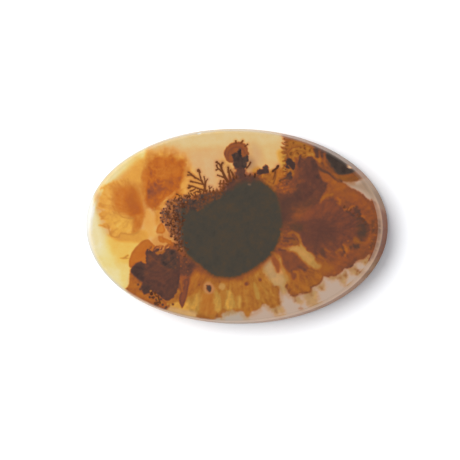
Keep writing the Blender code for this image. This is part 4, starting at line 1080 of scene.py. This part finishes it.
def layMark(mark, seed):
    corners = mark.get("area") or mark.get("path") or [mark["at"], mark["at"]]
    curve = softCurve(corners, "area" in mark)
    rough, ray = mark["rough"], mark["ray"]
    margin = 0.3 + 2.0 * mark["soft"] + rough + ray
    near = np.flatnonzero(nearCurve(places, curve, margin))
    spot, solid, down = places[near], points[near], depth[near]
    if rough:
        size = mark.get("grain", 0.5 + rough)
        spot = spot + rough * np.column_stack([cloud(solid, size, seed, 3), cloud(solid, size, seed + 1, 3)])
    inside = insideMark(mark, spot, curve)
    middle = mark.get("raysFrom", coreMiddle)
    fibres = rays(spot, middle, seed + 2, mark["strand"]) if ray or mark["fibre"] else 0
    inside = inside + ray * fibres
    soft = mark["soft"] * (1 + 2.5 * down)              # edges blur going down
    reach = grainLook["markDepth"]
    share = smooth(inside, -soft / 2, soft / 2) * (1 - smooth(down, reach * 0.6, reach))
    share = share * mark["strength"]
    stain = grainedStain(mark, spot, solid, inside, fibres, down, seed)
    field["stain"][near] += (stain - field["stain"][near]) * share
    field["rose"][near] += (mark["rose"] - field["rose"][near]) * share
    field["haze"][near] += (mark["haze"] - field["haze"][near]) * share


# A marking can stand for several areas, strokes or dots of one kind.
def layMarks(marks, firstSeed):
    for index, mark in enumerate(marks.values()):
        areas = [{"area": corners} for corners in mark.get("areas", [])]
        lines = [{"path": path} for path in mark.get("paths", [])]
        dots = [{"at": spot} for spot in mark.get("dots", [])]
        for step, part in enumerate(areas + lines + dots or [{}]):
            layMark({**usualMark, **mark, **part}, firstSeed + 40 * index + step)


# A step of length 1 along a heading in radians.
def wayTo(heading):
    return np.array((math.cos(heading), math.sin(heading)))


veinLook = {
    "width": 0.24,              # usual width in millimetres
    "bend": 0.12,               # radians that a vein wavers by
    "spread": 0.35,             # and that its forks turn away by
    "deepest": 0.4,             # share of the stone's height
}


# A branching line: from a start it walks, wavers and forks until its forks are used up.
def growBranches(chance, start, heading, length, forks):
    path, step = [np.array(start, float)], length / 4
    for _ in range(4):
        heading += chance.normal(0, veinLook["bend"])
        path.append(path[-1] + step * wayTo(heading))
    grown = [(path, forks)]
    if forks:
        for side in (-1, 1):
            turn = heading + side * veinLook["spread"] * chance.uniform(0.6, 1.3)
            nextLength = length * chance.uniform(0.6, 0.9)
            grown += growBranches(chance, path[-1], turn, nextLength, forks - 1)
    return grown


# Veins inside a plume: a little darker than it, or lighter where change is below 0.
def layVeins(vein):
    chance = np.random.default_rng(vein["seed"])
    outline = softCurve(plumes[vein["within"]]["area"], True)
    line = np.zeros(len(places))
    for stem in range(vein["stems"]):
        turn = vein["heading"] + vein["sweep"] * (2 * (stem + chance.uniform(0.2, 0.8)) / vein["stems"] - 1)
        length = vein["length"] * chance.uniform(0.7, 1.2)
        for path, forks in growBranches(chance, vein["root"], math.radians(turn), length, vein["forks"]):
            curve = softCurve(path, False, 3)
            near = np.flatnonzero(nearCurve(places, curve, 0.6) & (depth < veinLook["deepest"]))
            near = near[insideCurve(places[near], outline)]
            distance = curveDistance(places[near], curve)[0]
            width = vein.get("width", veinLook["width"]) * (0.6 + 0.2 * forks)
            line[near] = np.maximum(line[near], np.exp(-(distance / width) ** 2))
    field["stain"] += vein["change"] * line


layMarks(ground, 100)
print("Ground colours laid")
layMarks(plumes, 1000)
print("Plumes laid")
layMarks(strokes, 4000)
layMarks(spots, 6000)
print("Strokes and spots laid")
for vein in veins.values():
    layVeins(vein)
print("Veins laid")

# Twigs: how far inside a twig each point lies, in millimetres, and the twig's tone.
twigLook = {
    "ragged": 0.08,             # how far a twig's edge wavers
    "thinner": 0.015,
    "fade": 0.6,                # how fast a twig fades going down
    "roundTip": 0.62,
    "deepest": 0.3,
    "halo": 0.13,               # stain in the clear stone beside a twig
    "haloReach": 0.45,
}
twigInside = np.full(len(points), -0.5)
twigTone = np.full(len(points), 0.3)
twigNoise = cloud(points, 0.45, 71, 2)
frontPoints = np.flatnonzero(depth < twigLook["deepest"])
frontPlaces = flat[frontPoints]


def layTwig(path, widths, tone):
    curve = softCurve(path, False, 4)
    near = frontPoints[nearCurve(frontPlaces, curve, 0.7)]
    if len(near) == 0:
        return
    distance, along = curveDistance(flat[near], curve)
    tip = widths[1] * twigLook["roundTip"] - np.hypot(*(flat[near] - curve[-1]).T)
    inside = np.maximum((widths[0] + (widths[1] - widths[0]) * along) / 2 - distance, tip)
    inside = inside - depth[near] * twigLook["fade"]
    inside += twigLook["ragged"] * twigNoise[near] - twigLook["thinner"]
    isBetter = inside > twigInside[near]
    twigInside[near[isBetter]] = inside[isBetter]
    twigTone[near[isBetter]] = tone


for tone, widths, path in twigs:
    layTwig(path, widths, tone)


# Short twigs that stand out from an edge, spaced a step apart.
def layFringe(fringe):
    chance = np.random.default_rng(fringe["seed"])
    curve = softCurve(fringe["path"], False)
    spans = np.hypot(*np.diff(curve, axis=0).T)
    reached = np.concatenate([[0], np.cumsum(spans)])
    for at in np.arange(0, reached[-1], fringe["step"]):
        at += chance.uniform(-0.3, 0.3) * fringe["step"]
        place = np.array([np.interp(at, reached, curve[:, axis]) for axis in (0, 1)])
        ahead = np.array([np.interp(at + 0.1, reached, curve[:, axis]) for axis in (0, 1)]) - place
        heading = math.atan2(ahead[1], ahead[0]) + math.pi / 2 + chance.normal(0, 0.3)
        length = chance.uniform(*fringe["length"])
        way = wayTo(heading)
        tone = fringe["tone"] + chance.uniform(-0.15, 0.15)
        layTwig([place - way * 0.25, place + way * length / 2, place + way * length], fringe["width"], tone)


for fringe in fringes.values():
    layFringe(fringe)

# Moss: short curled strands and beads, grown from a seed inside an outline.
mosses = dict(
    mossLeft=dict(seed=5, strands=125, length=0.8, width=0.15, tone=(0.3, 0.9), area=[
        (-10.7, 4), (-9.85, 4.15), (-8.85, 4.7), (-8.2, 5.2), (-7.55, 4.7), (-7.55, 3.55), (-8, 2.55),
        (-8.15, 0.9), (-8.15, -1.05), (-7.8, -3.35), (-8.6, -4), (-9.45, -2.9), (-9.7, -1.4),
        (-10.45, -0.45), (-11.3, 0.55), (-11.65, 1.85), (-11.5, 2.5), (-10.85, 2.7), (-10.5, 3.35)]),
    mossTop=dict(seed=6, strands=15, length=0.7, width=0.15, tone=(0.3, 0.7), area=[
        (-7.2, 4.7), (-6.05, 5.1), (-4.75, 5.45), (-3.1, 5.55), (-1.6, 5.85), (-1.9, 4.95), (-4.2, 4.4),
        (-6.2, 3.9), (-7.55, 4.05)]),
    mossFoot=dict(seed=7, strands=12, length=0.6, width=0.2, tone=(0.4, 0.9), area=[
        (-13.65, -11.15), (-13, -11.15), (-12.15, -11.95), (-11.65, -12.75), (-11.95, -13.1),
        (-12.65, -12.95), (-13.3, -11.95)]),
    mossBelow=dict(seed=9, strands=32, length=0.7, width=0.14, tone=(0.4, 0.8), area=[
        (-10.3, -0.9), (-9.45, -0.9), (-8.8, -2.4), (-7.95, -4), (-7.25, -5.5), (-8.1, -5.15), (-9.1, -4.05),
        (-9.95, -2.9)]),
    mossAmber=dict(seed=8, strands=16, length=0.7, width=0.12, tone=(0.1, 0.4), area=[
        (9.1, 13.6), (10.9, 13.45), (12.9, 12.85), (13.25, 11.5), (10.95, 11.65), (9.6, 11.65),
        (8.95, 12.3)]),
)


def growMoss(moss):
    chance = np.random.default_rng(moss["seed"])
    outline = softCurve(moss["area"], True)
    low, high = outline.min(0), outline.max(0)
    grown = 0
    while grown < moss["strands"]:
        start = chance.uniform(low, high)
        if not insideCurve(start[None], outline)[0]:
            continue
        heading, path = chance.uniform(0, 2 * math.pi), [start]
        curl = chance.normal(0, 0.9)
        for _ in range(chance.integers(2, 6)):
            heading += curl + chance.normal(0, 0.5)
            path.append(path[-1] + moss["length"] / 5 * wayTo(heading))
        width = moss["width"] * chance.uniform(0.8, 1.35)
        layTwig(path, (width, width * chance.uniform(0.7, 1.5)), chance.uniform(*moss["tone"]))
        grown += 1


for moss in mosses.values():
    growMoss(moss)

# The clear stone close to a twig is stained too.
halo = twigLook["halo"] * smooth(twigInside, -twigLook["haloReach"], 0.0)
field["stain"] += halo * (1 - smooth(field["stain"], 0.5, 0.7))
print("Twigs and moss grown")

# The bevel and the side are less polished than the front, so they look paler, and a chip is freshly broken.
# Over that, light is painted in by the key light's side: the frost toward the key light is a painted shade,
# the side away from it gets a painted warm glow of light come through the stone, and a painted highlight runs
# along the top of the side.
wearAndPaintedLight = {
    "keySide": (-0.94, 0.35),       # the way to the key light
    "awayFromKey": (0.6, -0.6),         # shares of that way where the far side begins and where it is full
    "frontEdge": (0.03, 0.002),     # millimetres below the front where wear is full and where it ends
    "lowest": 0.7,                  # height below which there is none
    "bevel": (-0.15, 0.05),         # millimetres from the top of the side
    # frost on the side facing the key light, where its grey frost colour is a painted shade
    "keySideWallFrost": 0.3,
    "wallTurn": (-0.8, -0.2),
    "bevelFrost": 0.4,
    "nearFrost": 0.14,              # added on the bevel of the near long side
    "clearWay": (0.56, 0.83),       # the way to the stretch of bevel that is best polished
    "clearTurn": (0.78, 0.96),
    "clearing": 0.85,
    "darkStain": (0.7, 0.92),       # dark markings show through the frost
    "edgeHighlight": 0.16,              # a painted highlight along the line where the side meets the bevel
    "highlightWidth": 0.09,
    "chipFrost": 0.6,
    "chipReach": (0.25, 0.5),       # millimetres from a chip's middle
    # a painted warm glow on the far wall, for light come through the stone
    "wallGlowStain": 0.6,
    "wallGlowShare": 0.45,
}
keySide = np.array(wearAndPaintedLight["keySide"])
outward = flat / np.array((stoneLength, stoneWidth)) ** 2
outward /= np.maximum(np.hypot(*outward.T), 1e-9)[:, None]
awayFromKey = smooth(outward @ keySide, *wearAndPaintedLight["awayFromKey"])
height = points[:, 2]
sideTop = stone["sideTop"][2]
onFront = smooth(height, *(stoneHeight - below for below in wearAndPaintedLight["frontEdge"]))
outside = (1 - onFront) * (height > wearAndPaintedLight["lowest"])
onBevel = smooth(height, *(sideTop + above for above in wearAndPaintedLight["bevel"]))
highlightLine = np.exp(-((height - sideTop) / wearAndPaintedLight["highlightWidth"]) ** 2)
inward = smooth(height, sideTop, stoneHeight)
keySideWallFrost = wearAndPaintedLight["keySideWallFrost"] * smooth(outward @ keySide, *wearAndPaintedLight["wallTurn"])
bevelFrost = wearAndPaintedLight["bevelFrost"] + wearAndPaintedLight["nearFrost"] * smooth(-outward[:, 1], 0.0, 0.8)
bevelFrost *= 1 - wearAndPaintedLight["clearing"] * smooth(outward @ wearAndPaintedLight["clearWay"], *wearAndPaintedLight["clearTurn"])
darkStain = smooth(field["stain"], *wearAndPaintedLight["darkStain"])
# Near the front the bevel keeps its frost only on the side away from the key light, as painted light, and
# dark markings show through it.
bevelFrost *= 1 - inward ** 0.7 * np.maximum(0.95 * (1 - smooth(awayFromKey, 0.7, 1.0)), darkStain)
# The frost mask carries real frost and painted light: the key-side shade, the far-side glow and the painted
# edge highlight.
frostAndPaintedLight = outside * (keySideWallFrost + (bevelFrost - keySideWallFrost) * onBevel + wearAndPaintedLight["edgeHighlight"] * highlightLine)
for chip in chips.values():
    fresh = 1 - smooth(np.linalg.norm(points - chipPlace(chip), axis=1), *wearAndPaintedLight["chipReach"])
    frostAndPaintedLight = np.maximum(frostAndPaintedLight, wearAndPaintedLight["chipFrost"] * fresh)
    field["stain"] *= 1 - fresh
    field["haze"] *= 1 - fresh
# The far wall is painted with a warm glow: less haze and its stain pulled towards a set warm stain.
farWallGlow = outside * (1 - onBevel) * awayFromKey
field["haze"] *= 1 - 0.5 * farWallGlow
field["stain"] += wearAndPaintedLight["wallGlowShare"] * farWallGlow * (wearAndPaintedLight["wallGlowStain"] - field["stain"])

layers = {**field, "twig": twigInside, "twigTone": twigTone, "frostAndPaintedLight": frostAndPaintedLight, "awayFromKey": awayFromKey,
          "unpolished": outside}
for name, values in layers.items():
    layer = meshData.attributes.new(name, "FLOAT", "POINT")
    layer.data.foreach_set("value", values.astype(np.float32))
print("Edges worn")

# How much brighter than its own colour the lit stone shows, and the light that its polish adds.
lightLevel = 1.67
glossLevel = 0.014


# A colour as it shows on the lit stone, from 0 to 255, turned into the stone's own colour.
def asStone(red, green, blue):
    shown = [channel / 255 for channel in (red, green, blue)]
    linear = [value / 12.92 if value <= 0.04045 else ((value + 0.055) / 1.055) ** 2.4 for value in shown]
    return (*[max((value - glossLevel) / lightLevel, 0.001) for value in linear], 1.0)


# The two paths are the colours of more and more stain, each a stain and a colour as it shows in the light.
agateLook = {
    "yellowPath": [
        (0.0, (246, 242, 232)), (0.04, (240, 229, 195)), (0.10, (237, 222, 165)), (0.18, (236, 211, 130)),
        (0.26, (235, 193, 98)), (0.34, (232, 174, 75)), (0.42, (208, 150, 68)), (0.50, (184, 137, 66)),
        (0.58, (173, 120, 54)), (0.665, (160, 103, 46)), (0.745, (141, 87, 44)), (0.83, (112, 75, 46)),
        (0.875, (84, 71, 57)), (0.91, (75, 69, 60)), (1.0, (57, 52, 46))],
    "rosePath": [
        (0.0, (243, 238, 230)), (0.04, (238, 226, 205)), (0.10, (238, 214, 165)), (0.18, (233, 196, 125)),
        (0.26, (234, 176, 92)), (0.34, (229, 156, 70)), (0.42, (213, 134, 56)), (0.50, (203, 116, 44)),
        (0.58, (190, 102, 40)), (0.665, (170, 91, 46)), (0.745, (147, 81, 53)), (0.83, (110, 69, 56)),
        (0.91, (86, 60, 53)), (1.0, (58, 46, 45))],
    "greyWindow": (177, 166, 155),
    "rosyWindow": (191, 170, 154),
    "windowShare": 0.9,
    # Frost colours: toward the key light painted greyer as shade, away from it painted brighter and warmer as
    # light come through the stone.
    "nearFrost": (204, 208, 206),
    "farGlowFrost": (271, 229, 196),
    "goldTwig": (128, 74, 40),
    "darkTwig": (64, 42, 34),
    "mottle": (900.0, 4.0),         # scale and detail of each noise
    "fine": (3500.0, 3.0),
    "clouding": (250.0, 3.0),
    "twigEdge": (3800.0, 3.0),
    "polish": (1200.0, 3.0),
    "mottleStain": 0.08,            # how far each noise moves the stain and the hue
    "fineStain": 0.045,
    "cloudingStain": 0.06,
    "cloudingHue": 0.5,
    "mottleHue": 0.35,
    "twigRagged": 0.2,
    "twigSoft": 0.09,
    "roughness": 0.09,
    "roughnessSpread": 0.05,
    "edgeRoughness": 0.34,          # added on the bevel and the side
    "ior": 1.54,
    "mirrorLevel": 0.2,
}


# Puts a value or another node's output on a socket.
def plug(tree, socket, value):
    if isinstance(value, bpy.types.NodeSocket):
        tree.links.new(value, socket)
    else:
        socket.default_value = value


def newNode(tree, kind, **sockets):
    node = tree.nodes.new(kind)
    for name, value in sockets.items():
        plug(tree, node.inputs[name], value)
    return node


def mathNode(tree, operation, *values):
    node = tree.nodes.new("ShaderNodeMath")
    node.operation = operation
    for socket, value in zip(node.inputs, values):
        plug(tree, socket, value)
    return node.outputs[0]


def attributeNode(tree, name):
    node = tree.nodes.new("ShaderNodeAttribute")
    node.attribute_name = name
    return node.outputs["Fac"]


def rampNode(tree, value, stops):
    node = newNode(tree, "ShaderNodeValToRGB", Fac=value)
    elements = node.color_ramp.elements
    while len(elements) < len(stops):
        elements.new(1.0)
    for element, (position, colour) in zip(elements, stops):
        element.position = position
        element.color = asStone(*colour)
    return node.outputs["Color"]


def mixColour(tree, share, first, second):
    node = tree.nodes.new("ShaderNodeMix")
    node.data_type = "RGBA"
    for socket, value in zip((node.inputs[0], node.inputs[6], node.inputs[7]), (share, first, second)):
        plug(tree, socket, value)
    return node.outputs[2]


def stepNode(tree, value, low, high):
    node = newNode(tree, "ShaderNodeMapRange", Value=value)
    node.interpolation_type = "SMOOTHSTEP"
    node.inputs["From Min"].default_value = low
    node.inputs["From Max"].default_value = high
    return node.outputs["Result"]


# Noise about 0, from one of the noises in agateLook.
def noiseNode(tree, place, name):
    scale, detail = agateLook[name]
    node = newNode(tree, "ShaderNodeTexNoise", Vector=place, Scale=scale, Detail=detail, Roughness=0.55)
    return mathNode(tree, "SUBTRACT", node.outputs["Fac"], 0.5)


# One value plus a share of another.
def addShare(tree, added, shareName, value):
    return mathNode(tree, "MULTIPLY_ADD", added, agateLook[shareName], value)


def colourPair(tree, share, firstName, secondName):
    return mixColour(tree, share, asStone(*agateLook[firstName]), asStone(*agateLook[secondName]))


def agateMaterial():
    material = bpy.data.materials.new("polishedAgate")
    material.use_nodes = True
    tree = material.node_tree
    shader = tree.nodes["Principled BSDF"]
    place = tree.nodes.new("ShaderNodeTexCoord").outputs["Object"]
    mottle, fine, clouding = (noiseNode(tree, place, name) for name in ("mottle", "fine", "clouding"))
    stain, rose, haze = (attributeNode(tree, name) for name in ("stain", "rose", "haze"))
    stain = addShare(tree, mottle, "mottleStain", stain)
    stain = addShare(tree, fine, "fineStain", stain)
    stain = addShare(tree, clouding, "cloudingStain", stain)
    hue = addShare(tree, clouding, "cloudingHue", rose)
    hue = addShare(tree, mottle, "mottleHue", hue)
    yellow = rampNode(tree, stain, agateLook["yellowPath"])
    rosy = rampNode(tree, stain, agateLook["rosePath"])
    body = mixColour(tree, hue, yellow, rosy)
    windowShare = mathNode(tree, "MULTIPLY", haze, agateLook["windowShare"])
    body = mixColour(tree, windowShare, body, colourPair(tree, rose, "greyWindow", "rosyWindow"))
    twigColour = colourPair(tree, attributeNode(tree, "twigTone"), "goldTwig", "darkTwig")
    ragged = addShare(tree, noiseNode(tree, place, "twigEdge"), "twigRagged", attributeNode(tree, "twig"))
    onTwig = stepNode(tree, ragged, -agateLook["twigSoft"], agateLook["twigSoft"])
    body = mixColour(tree, onTwig, body, twigColour)
    # The frost colour is painted light: a shaded grey toward the key light and a warm glow away from it.
    frostColour = colourPair(tree, attributeNode(tree, "awayFromKey"), "nearFrost", "farGlowFrost")
    body = mixColour(tree, attributeNode(tree, "frostAndPaintedLight"), body, frostColour)
    tree.links.new(body, shader.inputs["Base Color"])
    polishNoise = noiseNode(tree, place, "polish")
    roughness = addShare(tree, polishNoise, "roughnessSpread", agateLook["roughness"])
    roughness = addShare(tree, attributeNode(tree, "unpolished"), "edgeRoughness", roughness)
    tree.links.new(roughness, shader.inputs["Roughness"])
    shader.inputs["IOR"].default_value = agateLook["ior"]
    shader.inputs["Specular IOR Level"].default_value = agateLook["mirrorLevel"]
    return material


polishedAgate.data.materials.append(agateMaterial())
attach(polishedAgate, "root")
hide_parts("agate_tablet")
print("Agate material made")

# Floor
floorLook = {
    "reach": 0.6,                   # metres from the middle to each edge
    "colour": (0.845, 0.845, 0.85, 1),
    "roughness": 0.8,
    "mirrorLevel": 0.1,
}
floorCorners = [(floorLook["reach"] * endX, floorLook["reach"] * endY, 0)
                for endX, endY in ((-1, -1), (1, -1), (1, 1), (-1, 1))]
floorData = bpy.data.meshes.new("paleFloor")
floorData.from_pydata(floorCorners, [], [(0, 1, 2, 3)])
paleFloor = addObject("paleFloor", floorData)
floorMaterial = bpy.data.materials.new("paleFloor")
floorMaterial.use_nodes = True
floorShader = floorMaterial.node_tree.nodes["Principled BSDF"]
floorShader.inputs["Base Color"].default_value = floorLook["colour"]
floorShader.inputs["Roughness"].default_value = floorLook["roughness"]
floorShader.inputs["Specular IOR Level"].default_value = floorLook["mirrorLevel"]
paleFloor.data.materials.append(floorMaterial)
print("Floor laid")

# Light
studio = {
    "skyColour": (0.925, 0.952, 1.0, 1.0),
    "skyStrength": 0.68,
    "keyFrom": (-0.305, 0.155, 0.42),       # metres, and the light looks at the stone
    "keySize": (0.85, 0.56),
    "keyPower": 5.3,
}
world = bpy.data.worlds.new("paleStudio")
world.use_nodes = True
background = world.node_tree.nodes["Background"]
background.inputs["Color"].default_value = studio["skyColour"]
background.inputs["Strength"].default_value = studio["skyStrength"]
bpy.context.scene.world = world
keyData = bpy.data.lights.new("softKey", "AREA")
keyData.shape = "ELLIPSE"
keyData.size, keyData.size_y = studio["keySize"]
keyData.energy = studio["keyPower"]
softKey = addObject("softKey", keyData)
softKey.location = studio["keyFrom"]
softKey.rotation_euler = (-Vector(studio["keyFrom"])).to_track_quat("-Z", "Y").to_euler()

# Camera, at the photo's angle: nearly straight above and a little to the right.
camera = {
    "tilt": 8.0,            # degrees from straight above, towards +X
    "roll": 0.7,
    "distance": 0.7,        # metres
    "sensor": 36,           # millimetres
    "frameWidth": 75.53,    # millimetres across the picture
    "aim": (-1.03, -0.63, 1.35),
}
cameraData = bpy.data.cameras.new("photoCamera")
photoCamera = addObject("photoCamera", cameraData)
tilt = math.radians(camera["tilt"])
towards = Vector((math.sin(tilt), 0, math.cos(tilt)))
photoCamera.location = Vector(camera["aim"]) * mm + towards * camera["distance"]
photoCamera.rotation_euler = (0, tilt, 0)
photoCamera.rotation_euler.rotate_axis("Z", math.radians(camera["roll"]))
cameraData.sensor_width = camera["sensor"]
cameraData.lens = camera["sensor"] * camera["distance"] / (camera["frameWidth"] * mm)
cameraData.clip_start, cameraData.clip_end = 0.01, 10
bpy.context.scene.camera = photoCamera
bpy.context.scene.view_settings.view_transform = "Standard"
print("Light and camera set")
